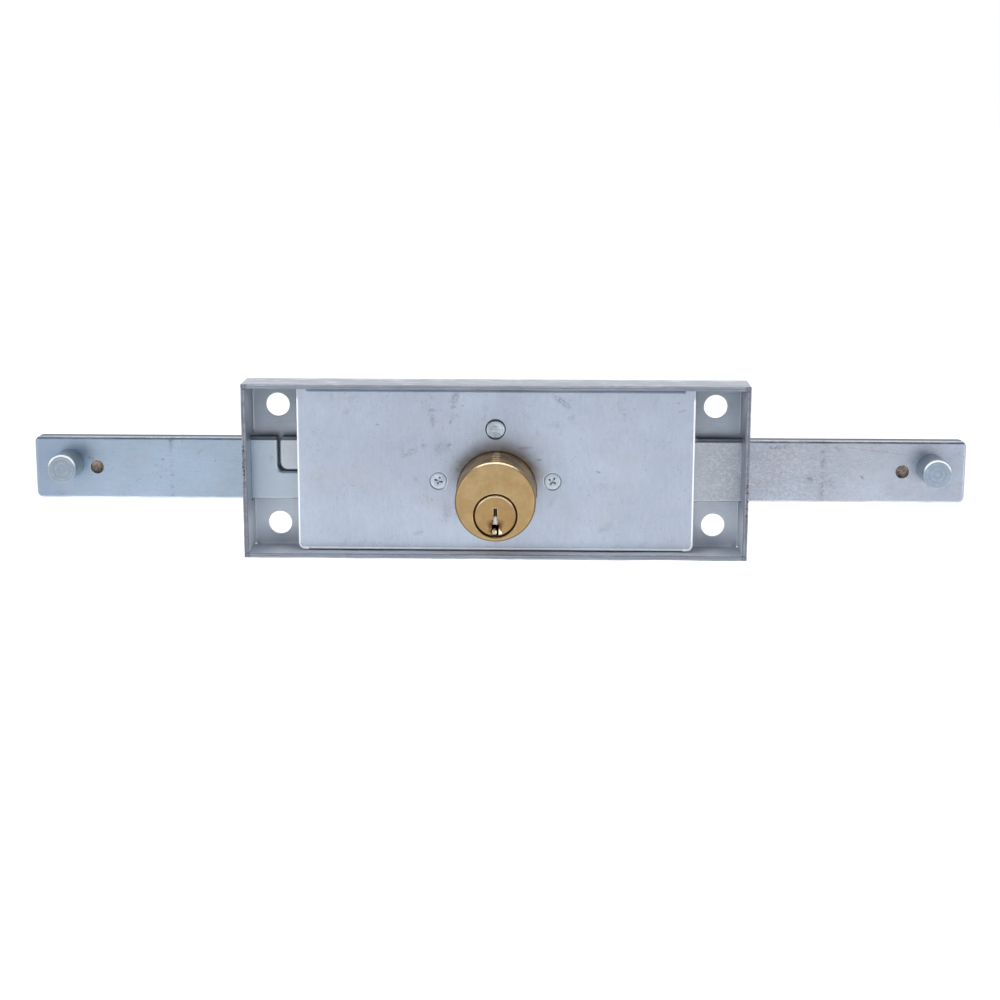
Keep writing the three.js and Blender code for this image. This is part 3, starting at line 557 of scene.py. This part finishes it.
# Smudges, as Finish.smudges takes them
COVER_SPOTS = [
    (-12.9, 23.2, 3.0, 1.8, 70, 0.6), (-13.4, 20.4, 1.6, 1.0, 20, 0.7), (-20.0, 16.0, 1.2, 2.6, 0, 0.6),
    (-14.3, 15.6, 1.2, 0.7, 60, 0.6), (-37.5, 14.6, 1.0, 0.5, -10, 0.6), (-27.5, 5.6, 4.5, 1.6, 25, 0.4),
    (-17.4, 7.4, 4.0, 3.2, 30, 0.35), (-15.5, -13.0, 2.2, 5.0, 0, 0.3), (9.6, 7.4, 3.4, 0.7, 4, 0.7),
    (14.0, 3.6, 1.3, 0.5, 0, 0.8), (11.6, -1.6, 0.6, 0.6, 0, 1.0), (32.6, -0.3, 1.2, 0.5, -15, 0.9),
    (57.7, 22.2, 0.8, 0.7, 0, 0.8), (58.8, 19.4, 1.6, 0.6, 20, 0.7), (21.0, 22.2, 5.2, 1.4, -36, 0.6),
    (24.0, 17.0, 2.0, 1.2, 10, 0.4), (-24.5, -20.5, 2.4, 1.0, 15, 0.5), (35.0, -18.5, 3.6, 1.4, 35, 0.35),
]
LEFT_BAR_SPOTS = [
    (-104.2, 8.2, 1.0, 1.5, 0, 1.0), (-107.0, 2.2, 0.7, 0.6, 0, 0.9), (-140.5, -9.0, 3.2, 1.2, 5, 0.35),
    (-130.2, 2.4, 1.4, 0.9, -30, 0.9), (-72.0, 2.6, 0.6, 1.8, 0, 0.9), (-95.0, 4.6, 1.6, 0.6, 40, 0.35),
]
RIGHT_BAR_SPOTS = [
    (89.2, 7.2, 4.2, 0.9, 3, 0.8), (92.4, 7.6, 1.3, 1.0, 10, 0.9), (100.4, -2.8, 1.6, 1.2, -38, 0.9),
    (91.2, -1.0, 0.5, 0.5, 0, 1.0), (106.8, -4.4, 3.2, 2.2, -25, 0.4), (108.8, 6.8, 1.8, 0.7, -42, 0.7),
    (117.0, -2.3, 1.2, 0.5, -45, 0.8), (121.2, 6.2, 14.0, 0.22, -7, 0.75), (134.0, 3.0, 3.0, 1.6, 30, 0.35),
    (84.0, 4.0, 6.0, 3.6, 20, 0.25),
]

METALS = {
    "case": zinc(
        "case_zinc", linear(172, 180, 192), linear(152, 161, 172), linear(166, 164, 172), 0.42,
        case_marks, edge=0.4),
    "cover": zinc(
        "cover_zinc", linear(180, 190, 206), linear(171, 180, 195), linear(177, 179, 189), 0.40,
        cover_marks, spots=COVER_SPOTS, brushed="Z"),
    "left_bar": zinc(
        "left_bar_zinc", linear(158, 175, 194), linear(152, 166, 182), linear(164, 170, 180), 0.36,
        bar_marks, spots=LEFT_BAR_SPOTS, smear=(-104.2, 0.6), mottling=0.22),
    "right_bar": zinc(
        "right_bar_zinc", linear(178, 186, 200), linear(167, 173, 184), linear(173, 170, 178), 0.37,
        bar_marks, spots=RIGHT_BAR_SPOTS, smear=(104.3, 1.0), mottling=0.42),
    "left_peg": zinc(
        "left_peg_zinc", linear(143, 155, 168), linear(133, 145, 158), linear(139, 145, 152), 0.36,
        peg_marks("left_peg"), edge=0.5),
    "right_peg": zinc(
        "right_peg_zinc", linear(147, 160, 176), linear(136, 149, 164), linear(142, 149, 158), 0.36,
        peg_marks("right_peg"), edge=0.5),
    "body_brass": brass(
        "body_brass", centre_of("cylinder_body"), linear(178, 152, 111), linear(166, 139, 98), 0.34,
        side_reflection=0.95, extra=body_marks),
    "plug_brass": brass(
        "plug_brass", centre_of("plug"), linear(170, 141, 98), linear(158, 129, 86), 0.32,
        side_reflection=0.6, extra=plug_marks),
    "pin_brass": plain_metal(
        "pin_brass", linear(226, 190, 120), linear(206, 166, 98), 0.3, dirt=0.15),
    "cap_brass": plain_metal(
        "cap_brass", linear(255, 240, 200), linear(120, 84, 44), 0.3, size=0.9, dirt=0.6, metallic=0.4),
    "ward_brass": plain_metal(
        "ward_brass", linear(226, 214, 184), linear(118, 98, 66), 0.3, size=0.7, dirt=0.8),
    "steel": plain_metal("plated_steel", linear(192, 202, 212), linear(166, 176, 186), 0.34),
    "gear_steel": plain_metal("gear_steel", linear(188, 188, 190), linear(160, 162, 166), 0.38),
    "bronze": plain_metal("bush_bronze", linear(206, 150, 100), linear(176, 122, 78), 0.42),
    "nickel": plain_metal(
        "nickel_silver", linear(255, 254, 250), linear(250, 248, 244), 0.4, dirt=0.0,
        extra=pin_upper_shade, metallic=0.2),
    "spring": plain_metal(
        "spring_steel", linear(150, 154, 162), linear(112, 116, 126), 0.26, dirt=0.25),
    # Painted shade seen through the bars' small holes.
    "shade_disc": hole_shade_disc(),
}


# ---------------------------------------------------------------------------------------------
# Mesh building
# ---------------------------------------------------------------------------------------------

SHARP = math.radians(28)
FLAT = math.radians(0.5)
SAME_PLACE = 1e-6


def add_piece(name, bm, nodes, metal, body=None):
    """Makes an object of the mesh, on its body, standing for its CAD nodes."""
    bmesh.ops.recalc_face_normals(bm, faces=bm.faces)
    for face in bm.faces:
        face.smooth = True
    mesh = bpy.data.meshes.new(name)
    bm.to_mesh(mesh)
    bm.free()
    made = bpy.data.objects.new(name, mesh)
    bpy.context.scene.collection.objects.link(made)
    mesh.materials.append(METALS[metal])
    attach(made, body or BODY_OF[nodes[0]])
    if nodes:
        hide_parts(*nodes)
    return made


def cut_across(bm, axis, place):
    """Cuts every face where it crosses the place on the axis, so that an edge runs there."""
    normal = Vector([float(k == axis) for k in range(3)])
    geometry = bm.verts[:] + bm.edges[:] + bm.faces[:]
    bmesh.ops.bisect_plane(bm, geom=geometry, plane_co=normal * place, plane_no=normal, dist=1e-7)


def node_mesh(node, cuts):
    """A copy of a CAD node's mesh whose flat faces are joined again, up to the cuts. Each cut is
    (axis, place) and runs through a hole, so that no joined face has a hole in it."""
    bm = bmesh.new()
    bm.from_mesh(frame["nodes"][node].data)
    bmesh.ops.remove_doubles(bm, verts=bm.verts, dist=SAME_PLACE)
    for axis, place in cuts:
        cut_across(bm, axis, place)

    def on_a_cut(edge):
        return any(all(abs(end.co[axis] - place) < SAME_PLACE for end in edge.verts) for axis, place in cuts)

    flat = [edge for edge in bm.edges if edge.calc_face_angle() < FLAT and not on_a_cut(edge)]
    bmesh.ops.dissolve_edges(bm, edges=flat, use_verts=True)
    return bm


def every_edge(_middle):
    return 1.0


def applied(made):
    """Fixes the object's modifiers into its mesh."""
    depsgraph = bpy.context.evaluated_depsgraph_get()
    mesh = bpy.data.meshes.new_from_object(made.evaluated_get(depsgraph), depsgraph=depsgraph)
    made.modifiers.clear()
    made.data = mesh


def refined(node, metal, width=0.15, segments=2, cuts=(), share=every_edge):
    """A CAD node with rounded edges. share(middle) is the part of the width that a sharp edge gets."""
    bm = node_mesh(node, cuts)
    layer = bm.edges.layers.float.new("bevel_weight_edge")
    for edge in bm.edges:
        if edge.calc_face_angle() > SHARP:
            edge[layer] = share((edge.verts[0].co + edge.verts[1].co) / 2)
    made = add_piece(f"{node}_fine", bm, [node], metal)
    bevel = made.modifiers.new("rounded_edges", "BEVEL")
    bevel.width = width * MM
    bevel.segments = segments
    bevel.limit_method = "WEIGHT"
    bevel.use_clamp_overlap = False
    applied(made)
    low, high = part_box(node)
    for vertex in made.data.vertices:
        vertex.co = [min(max(place, least), most) for place, least, most in zip(vertex.co, low, high)]
    even = made.modifiers.new("even_normals", "WEIGHTED_NORMAL")
    even.weight = 60
    return made


def turned_mesh(profile, centre, axis="Y", segments=96):
    """A turned solid from a profile of (radius, depth) that starts and ends on the axis."""
    bm = bmesh.new()
    rings = []
    for radius, depth in profile:
        ring = []
        for k in range(segments if radius > 0 else 1):
            angle = 2 * math.pi * k / segments
            across, up = radius * math.cos(angle), radius * math.sin(angle)
            offset = (across, depth, up) if axis == "Y" else (across, up, depth)
            ring.append(bm.verts.new(Vector(offset) + Vector(centre)))
        rings.append(ring)
    for near, far in zip(rings, rings[1:]):
        for k in range(segments):
            after = k + 1
            corners = [near[k % len(near)], near[after % len(near)], far[after % len(far)], far[k % len(far)]]
            bm.faces.new(list(dict.fromkeys(corners)))
    return bm


def arc(centre, radius, start, end, steps):
    """Profile points round a corner, from start to end in degrees."""
    points = []
    for k in range(steps + 1):
        angle = math.radians(start + (end - start) * k / steps)
        points.append((centre[0] + radius * math.cos(angle), centre[1] + radius * math.sin(angle)))
    return points


def coil_mesh(centre, radius, wire, bottom, top, turns, sides=10, steps=28):
    """A wire wound round a Z axis, with its end turns closed."""
    bm = bmesh.new()
    count = int(turns * steps)
    closed = 0.85 * steps
    heights = [min(1.0, k / closed, (count - k) / closed) for k in range(count + 1)]
    total = sum(heights)
    rings, climbed = [], 0.0
    for k in range(count + 1):
        climbed += heights[k]
        angle = 2 * math.pi * k / steps
        out = Vector((math.cos(angle), math.sin(angle), 0))
        middle = Vector(centre) + out * radius + Vector((0, 0, bottom + (top - bottom) * climbed / total))
        rings.append([
            bm.verts.new(middle + wire * (out * math.cos(turn) + Vector((0, 0, 1)) * math.sin(turn)))
            for turn in (2 * math.pi * side / sides for side in range(sides))
        ])
    for near, far in zip(rings, rings[1:]):
        for side in range(sides):
            other = (side + 1) % sides
            bm.faces.new([near[side], near[other], far[other], far[side]])
    bm.faces.new(rings[0])
    bm.faces.new(rings[-1])
    return bm


# ---------------------------------------------------------------------------------------------
# Case and cover
# ---------------------------------------------------------------------------------------------

def sheared_rims(made):
    """Cuts the bevelled case into short lengths and makes its front rims slightly uneven."""
    spacing, depth, lean, fading = millimetres(2, 0.16, 0.22, 3)
    bm = bmesh.new()
    bm.from_mesh(made.data)
    low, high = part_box("case_tray")
    for axis in (0, 2):
        for step in range(1, int((high[axis] - low[axis]) / spacing)):
            cut_across(bm, axis, low[axis] + step * spacing)
    for vertex in bm.verts:
        share = max(0.0, min(1.0, (low.y + fading - vertex.co.y) / fading))
        if share > 0:
            on_plan = vertex.co * Vector((1, 0, 1))
            rough = noise.noise(on_plan * 240) + 0.5 * noise.noise(vertex.co * 900)
            wave = noise.noise(on_plan * 45)
            vertex.co.y += share ** 3 * depth * max(0.0, 0.5 + rough)
            if abs(vertex.co.z) > 20 * MM:
                vertex.co.z -= math.copysign(share * lean * (0.5 + wave), vertex.co.z)
    bm.to_mesh(made.data)
    bm.free()


def middles(*nodes, axis=0):
    """Cuts through the middles of the nodes."""
    return [(axis, centre_of(node)[axis]) for node in nodes]


STUDS = ("guide_stud_left", "guide_stud_right", "spring_anchor_post", "spring_stop_post")
FIXING_X = 70.3 * MM


def case_share(middle):
    """The four back corners, where the folds end in reliefs, stay sharp."""
    at_corner = abs(middle.x) > 77.5 * MM and abs(middle.z) > 25.5 * MM and middle.y > -3 * MM
    return 0.0 if at_corner else 1.0


def cover_share(middle):
    """The cover stays sharp where its folded lips end."""
    at_lip_end = 59.4 * MM < abs(middle.x) < 60.6 * MM and abs(middle.z) > 24.5 * MM
    return 0.0 if at_lip_end else 1.0


case = refined("case_tray", "case", width=0.2, segments=3, share=case_share,
               cuts=[(0, -FIXING_X), (0, FIXING_X), *middles("center_pillar", "tail_bush", *STUDS),
                     *middles("left_bar", axis=2)])
sheared_rims(case)
refined("cover_plate", "cover", width=0.25, segments=3, share=cover_share,
        cuts=middles("center_pillar", "cylinder_body", "fork_screw_left", "fork_screw_right"))


def hammered_rivet():
    """The pillar's peened head: a low dome with hammer dents and a struck centre."""
    low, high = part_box("center_pillar")
    x, z = centre_of("center_pillar").x, centre_of("center_pillar").z
    head, neck, body, tail = millimetres(2.86, 3.08, 3.5, 3.0)
    rim_radius, foot_radius = millimetres(0.22, 0.3)
    cover_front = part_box("cover_plate")[0].y
    cover_rear = cover_front + 1.2 * MM
    case_floor = -1.5 * MM
    steps = 14
    profile = [(head * k / steps, low.y) for k in range(steps)]
    profile += arc((head - rim_radius, low.y + rim_radius), rim_radius, -90, 0, 5)
    profile += [(head, cover_front + 0.35 * MM), (neck, cover_front + 0.6 * MM), (neck, cover_rear)]
    profile += [(body, cover_rear), (body, case_floor), (tail, case_floor)]
    profile += arc((tail - foot_radius, -foot_radius), foot_radius, 0, 90, 4)
    bm = turned_mesh(profile + [(0, 0)], (x, 0, z), segments=72)
    for vertex in bm.verts:
        reach = math.hypot(vertex.co.x - x, vertex.co.z - z)
        if vertex.co.y < low.y + 0.05 * MM and reach < head:
            place = Vector((vertex.co.x, 0, vertex.co.z))
            dents = noise.noise(place * 1900) * 0.10 + noise.noise(place * 4200) * 0.05
            struck_ring = 0.09 * math.exp(-((reach - 1.25 * MM) / (0.28 * MM)) ** 2)
            fall = 1 - (reach / head) ** 4
            dome = 0.05 * (reach / head) ** 2
            vertex.co.y += max(0.0, (dents + struck_ring) * fall + dome) * MM
    add_piece("center_pillar_fine", bm, ["center_pillar"], "steel")


hammered_rivet()


# ---------------------------------------------------------------------------------------------
# Bars and pegs
# ---------------------------------------------------------------------------------------------

BAR_HOLE_X = {"left": -128.3 * MM, "right": 129.7 * MM}
BAR_HOLE_Z = -0.4 * MM
BAR_HOLE_RADIUS = 2.1 * MM


def bar(side):
    """The bar with its long edges rounded."""
    hole_x = BAR_HOLE_X[side]
    peg = centre_of(f"{side}_peg")

    def share(middle):
        """The rack and the peg's hole stay sharp, and the small hole's rim is little rounded."""
        if abs(middle.x) < 25 * MM or math.hypot(middle.x - peg.x, middle.z - peg.z) < 4 * MM:
            return 0.0
        return 0.2 if math.hypot(middle.x - hole_x, middle.z - BAR_HOLE_Z) < 3 * MM else 1.0

    refined(f"{side}_bar", f"{side}_bar", width=0.85, segments=5,
            cuts=[(0, hole_x), (0, peg.x)], share=share)


def bar_peg(side):
    """A turned peg with faint ridges on its face, a rounded rim and a neck riveted in the bar."""
    low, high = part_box(f"{side}_peg")
    centre = centre_of(f"{side}_peg")
    radius = (high.x - low.x) / 2
    bar_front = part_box(f"{side}_bar")[0].y
    rim_radius, foot, neck, chamfer, ridge = millimetres(0.4, 0.15, 3, 0.1, 0.012)
    face_radius = radius - 0.5 * MM
    steps = 12
    profile = [(face_radius * k / steps, low.y + (ridge if k % 3 == 1 else 0.0)) for k in range(steps)]
    profile += arc((radius - rim_radius, low.y + rim_radius), rim_radius, -90, 0, 6)
    profile += [(radius, bar_front - foot), (radius - foot, bar_front), (neck, bar_front)]
    profile += [(neck, high.y - chamfer), (neck - chamfer, high.y), (0, high.y)]
    bm = turned_mesh(profile, (centre.x, 0, centre.z))
    add_piece(f"{side}_peg_fine", bm, [f"{side}_peg"], f"{side}_peg")


def hole_plug(side):
    """The lumpy disc of painted shade in the bar's small hole, a little below both of the bar's faces."""
    x = BAR_HOLE_X[side]
    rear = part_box(f"{side}_peg")[1].y
    wall = BAR_HOLE_RADIUS - 0.02 * MM
    front_steps, rear_steps = 8, 6
    profile = [(BAR_HOLE_RADIUS * k / front_steps, rear - 3.1 * MM) for k in range(front_steps)]
    profile += [(wall, rear - 3.4 * MM), (wall, rear - 0.3 * MM)]
    profile += [(BAR_HOLE_RADIUS * k / rear_steps, rear - 0.5 * MM) for k in range(rear_steps - 1, -1, -1)]
    bm = turned_mesh(profile, (x, 0, BAR_HOLE_Z), segments=48)
    for vertex in bm.verts:
        if math.hypot(vertex.co.x - x, vertex.co.z - BAR_HOLE_Z) < 0.95 * BAR_HOLE_RADIUS:
            vertex.co.y += 0.2 * MM * noise.noise(vertex.co * 1400)
    add_piece(f"{side}_hole_shade_disc", bm, [], "shade_disc", body=f"{side}_bar")


for bar_side in SIDES:
    bar(bar_side)
    bar_peg(bar_side)
    hole_plug(bar_side)


# ---------------------------------------------------------------------------------------------
# Cylinder, plug and pins
# ---------------------------------------------------------------------------------------------

refined("cylinder_body", "body_brass", width=0.14, segments=3, cuts=middles("plug"))
refined("plug", "plug_brass", width=0.08, segments=2, cuts=middles("plug"))
refined("plug_clip", "spring", width=0.1)
refined("drive_pinion", "gear_steel", width=0.1)
refined("tail_bush", "bronze", width=0.15)


def key_pin(number):
    """A nickel silver pin with a blunt, well rounded tip and a slightly crowned top."""
    low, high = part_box(f"key_pin_{number}")
    centre = centre_of(f"key_pin_{number}")
    radius = (high.y - low.y) / 2
    tip, crown = millimetres(0.6, 0.2)
    profile = [(0, low.z)] + arc((radius - tip, low.z + tip), tip, -90, 0, 8)
    profile += arc((radius - crown, high.z - crown), crown, 0, 90, 4) + [(0, high.z)]
    bm = turned_mesh(profile, (centre.x, centre.y, 0), "Z", 48)
    add_piece(f"key_pin_{number}_fine", bm, [f"key_pin_{number}"], "nickel")


def plug_ward():
    """The wide rib across the keyway's lower end, which a key's lower groove runs on. Its section
    is (across, up) from the middle of the plug."""
    middle = centre_of("tail_bush")
    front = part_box("plug")[0].y + 0.1 * MM
    section_middle = -5.2
    section = [(-1.02, -5.95), (0.3, -5.85), (0.5, -5.6), (0.5, -4.75)]
    section += [(0.25, -4.45), (-0.6, -4.4), (-1.02, -4.6)]
    bm = bmesh.new()
    rings = []
    for behind, size in ((0, 0.85), (0.12 * MM, 1.0), (19.9 * MM, 1.0)):
        ring = []
        for across, up in section:
            height = section_middle + (up - section_middle) * size
            ring.append(bm.verts.new((middle.x + across * size * MM, front + behind, middle.z + height * MM)))
        rings.append(ring)
    for near, far in zip(rings, rings[1:]):
        for k in range(len(section)):
            other = (k + 1) % len(section)
            bm.faces.new([near[k], near[other], far[other], far[k]])
    bm.faces.new(rings[0])
    bm.faces.new(rings[-1])
    add_piece("plug_ward", bm, [], "ward_brass", body="plug")


plug_ward()


def driver_pin(number):
    """A brass spool pin: its waist catches at the shear line when the lock is picked."""
    low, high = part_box(f"driver_pin_{number}")
    centre = centre_of(f"driver_pin_{number}")
    radius = (high.y - low.y) / 2
    edge = 0.18 * MM
    waist = radius - 0.22 * MM
    profile = [(0, low.z)] + arc((radius - edge, low.z + edge), edge, -90, 0, 4)
    profile += [(radius, low.z + 0.8 * MM), (waist, low.z + 0.95 * MM)]
    profile += [(waist, high.z - 1.25 * MM), (radius, high.z - 1.1 * MM)]
    profile += arc((radius - edge, high.z - edge), edge, 0, 90, 4) + [(0, high.z)]
    bm = turned_mesh(profile, (centre.x, centre.y, 0), "Z", 40)
    add_piece(f"driver_pin_{number}_fine", bm, [f"driver_pin_{number}"], "pin_brass")


def pin_spring(number):
    """A coil of round wire at its rest length."""
    low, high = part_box(f"pin_spring_{number}")
    centre = centre_of(f"pin_spring_{number}")
    wire = 0.19 * MM
    radius = (high.x - low.x) / 2 - wire - 0.01 * MM
    bm = coil_mesh((centre.x, centre.y, 0), radius, wire, low.z + wire, high.z - wire, turns=6.5)
    add_piece(f"pin_spring_{number}_fine", bm, [f"pin_spring_{number}"], "spring")


def chamber_cap(number):
    """A cap pressed into the top of a pin chamber and punched once in its middle."""
    low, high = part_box(f"chamber_cap_{number}")
    centre = centre_of(f"chamber_cap_{number}")
    radius = (high.y - low.y) / 2
    profile = [(0, low.z), (radius, low.z), (radius, high.z - 0.15 * MM)]
    profile += [(radius - 0.12 * MM, high.z - 0.02 * MM), (0.5 * MM, high.z)]
    profile += [(0.3 * MM, high.z - 0.15 * MM), (0, high.z - 0.22 * MM)]
    bm = turned_mesh(profile, (centre.x, centre.y, 0), "Z", 40)
    add_piece(f"chamber_cap_{number}_fine", bm, [f"chamber_cap_{number}"], "cap_brass")


for pin_number in PIN_NUMBERS:
    key_pin(pin_number)
    driver_pin(pin_number)
    pin_spring(pin_number)
    chamber_cap(pin_number)


# ---------------------------------------------------------------------------------------------
# Fastenings, studs and the detent spring
# ---------------------------------------------------------------------------------------------

def cross_cutter(centre, front, turn):
    """Two crossed wedges that taper inwards, turned about the screw's axis. Each is given as
    (place from the screw's front, half length, half width) outside and inside."""
    bm = bmesh.new()
    axis_point = Vector((centre.x, 0, centre.z))
    wedge = (millimetres(-0.3, 1.62, 0.36), millimetres(1.0, 0.62, 0.22))
    for arm in (0, 90):
        rotation = Matrix.Rotation(math.radians(turn + arm), 4, "Y")
        rows = []
        for behind, long, half in wedge:
            rows.append([
                bm.verts.new(rotation @ Vector((sx * long, front + behind, sz * half)) + axis_point)
                for sx, sz in ((-1, -1), (1, -1), (1, 1), (-1, 1))
            ])
        bm.faces.new(rows[0])
        bm.faces.new(rows[1])
        for k in range(4):
            other = (k + 1) % 4
            bm.faces.new([rows[0][k], rows[0][other], rows[1][other], rows[1][k]])
    bmesh.ops.recalc_face_normals(bm, faces=bm.faces)
    mesh = bpy.data.meshes.new("cross_cutter")
    bm.to_mesh(mesh)
    bm.free()
    cutter = bpy.data.objects.new("cross_cutter", mesh)
    bpy.context.scene.collection.objects.link(cutter)
    return cutter


def fork_screw(side, turn):
    """A countersunk cross recess screw with a rolled thread."""
    node = f"fork_screw_{side}"
    low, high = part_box(node)
    centre = centre_of(node)
    head = (high.x - low.x) / 2
    core, crest, pitch, edge = millimetres(1.12, 1.3, 0.5, 0.1)
    profile = [(0, low.y + 0.04 * MM), (head * 0.5, low.y + 0.01 * MM)]
    profile += arc((head - edge, low.y + edge), edge, -90, 0, 4)
    profile += [(crest, low.y + 1.25 * MM)]
    at = low.y + 1.4 * MM
    while at + pitch < high.y:
        profile += [(core, at), (crest, at + pitch / 2)]
        at += pitch
    profile += [(core, at), (core - 0.25 * MM, high.y), (0, high.y)]
    bm = turned_mesh(profile, (centre.x, 0, centre.z), segments=64)
    made = add_piece(f"{node}_fine", bm, [node], "steel")
    cutter = cross_cutter(centre, low.y, turn)
    cut = made.modifiers.new("recess", "BOOLEAN")
    cut.operation = "DIFFERENCE"
    cut.solver = "EXACT"
    cut.object = cutter
    cut.use_self = True
    applied(made)
    bpy.data.objects.remove(cutter)
    made.data.set_sharp_from_angle(angle=SHARP)


fork_screw("left", turn=18)
fork_screw("right", turn=33)
refined("retaining_fork", "steel", width=0.15)
for stud in STUDS:
    refined(stud, "steel", width=0.25, segments=3)
refined("detent_spring", "spring", width=0.1)


# ---------------------------------------------------------------------------------------------
# Studio: a pale floor, soft lamps and the camera
# ---------------------------------------------------------------------------------------------

def floor():
    """A wide pale floor well below the lock, which hangs as it does on a shutter."""
    bm = bmesh.new()
    half, height = 60.0, -0.26
    corners = ((-half, -half), (half, -half), (half, half), (-half, half))
    bm.faces.new([bm.verts.new((x, y, height)) for x, y in corners])
    mesh = bpy.data.meshes.new("studio_floor")
    bm.to_mesh(mesh)
    bm.free()
    made = bpy.data.objects.new("studio_floor", mesh)
    bpy.context.scene.collection.objects.link(made)
    f = Finish("studio_floor")
    tone = f.mix(f.noise(400), linear(250, 250, 250), linear(246, 247, 248))
    f.feed(f.shader.inputs["Base Color"], tone)
    f.shader.inputs["Roughness"].default_value = 0.9
    f.shader.inputs["Emission Color"].default_value = (1, 1, 1, 1)
    f.shader.inputs["Emission Strength"].default_value = 0.55
    mesh.materials.append(f.material)


def world():
    """A white wall behind, a dim ceiling and a cool grey room in front. They light the lock, and the
    camera itself sees plain white all round."""
    made = bpy.data.worlds.new("studio")
    bpy.context.scene.world = made
    made.use_nodes = True
    tree = made.node_tree
    split = tree.nodes.new("ShaderNodeSeparateXYZ")
    tree.links.new(tree.nodes.new("ShaderNodeTexCoord").outputs["Generated"], split.inputs[0])
    room, ceiling, wall = (0.40, 0.43, 0.47, 1), (0.16, 0.17, 0.19, 1), (1, 1, 1, 1)
    tone = room
    for output, low, high, reached in (("Z", 0.15, 0.7, ceiling), ("Y", -0.1, 0.5, wall)):
        share = tree.nodes.new("ShaderNodeMapRange")
        share.interpolation_type = "SMOOTHSTEP"
        share.inputs[1].default_value = low
        share.inputs[2].default_value = high
        tree.links.new(split.outputs[output], share.inputs[0])
        mix = tree.nodes.new("ShaderNodeMix")
        mix.data_type = "RGBA"
        mix.inputs[7].default_value = reached
        tree.links.new(share.outputs[0], mix.inputs[0])
        if isinstance(tone, tuple):
            mix.inputs[6].default_value = tone
        else:
            tree.links.new(tone, mix.inputs[6])
        tone = mix.outputs[2]
    seen = tree.nodes.new("ShaderNodeMix")
    seen.data_type = "RGBA"
    seen.inputs[7].default_value = (1, 1, 1, 1)
    tree.links.new(tree.nodes.new("ShaderNodeLightPath").outputs["Is Camera Ray"], seen.inputs[0])
    tree.links.new(tone, seen.inputs[6])
    tree.links.new(seen.outputs[2], tree.nodes["Background"].inputs["Color"])
    tree.nodes["Background"].inputs["Strength"].default_value = 1.0


def lamp(name, place, target, size, power):
    """A rectangular softbox that faces the target."""
    data = bpy.data.lights.new(name, "AREA")
    data.shape = "RECTANGLE"
    data.size, data.size_y = size
    data.energy = power
    made = bpy.data.objects.new(name, data)
    made.location = place
    made.rotation_euler = (Vector(target) - Vector(place)).to_track_quat("-Z", "Y").to_euler()
    bpy.context.scene.collection.objects.link(made)


def camera():
    """A camera a little above the lock, which looks slightly down on it."""
    data = bpy.data.cameras.new("camera")
    data.sensor_width = 36
    data.lens = 67.365
    made = bpy.data.objects.new("camera", data)
    made.location = millimetres(13.96, -595.73, 110.29)
    made.rotation_euler = [math.radians(angle) for angle in (78.4196, -0.1286, 1.2511)]
    bpy.context.scene.collection.objects.link(made)
    bpy.context.scene.camera = made


floor()
world()
lamp("overhead_strip", (0, -0.12, 1.1), (0, -0.01, 0), (1.6, 0.3), 7)
lamp("left_softbox", (-1.0, -0.9, 0.3), (0, 0, 0), (0.7, 1.0), 5)
lamp("right_softbox", (1.0, -0.9, 0.1), (0, 0, 0), (0.7, 1.0), 5)
camera()
bpy.context.scene.view_settings.view_transform = "Standard"
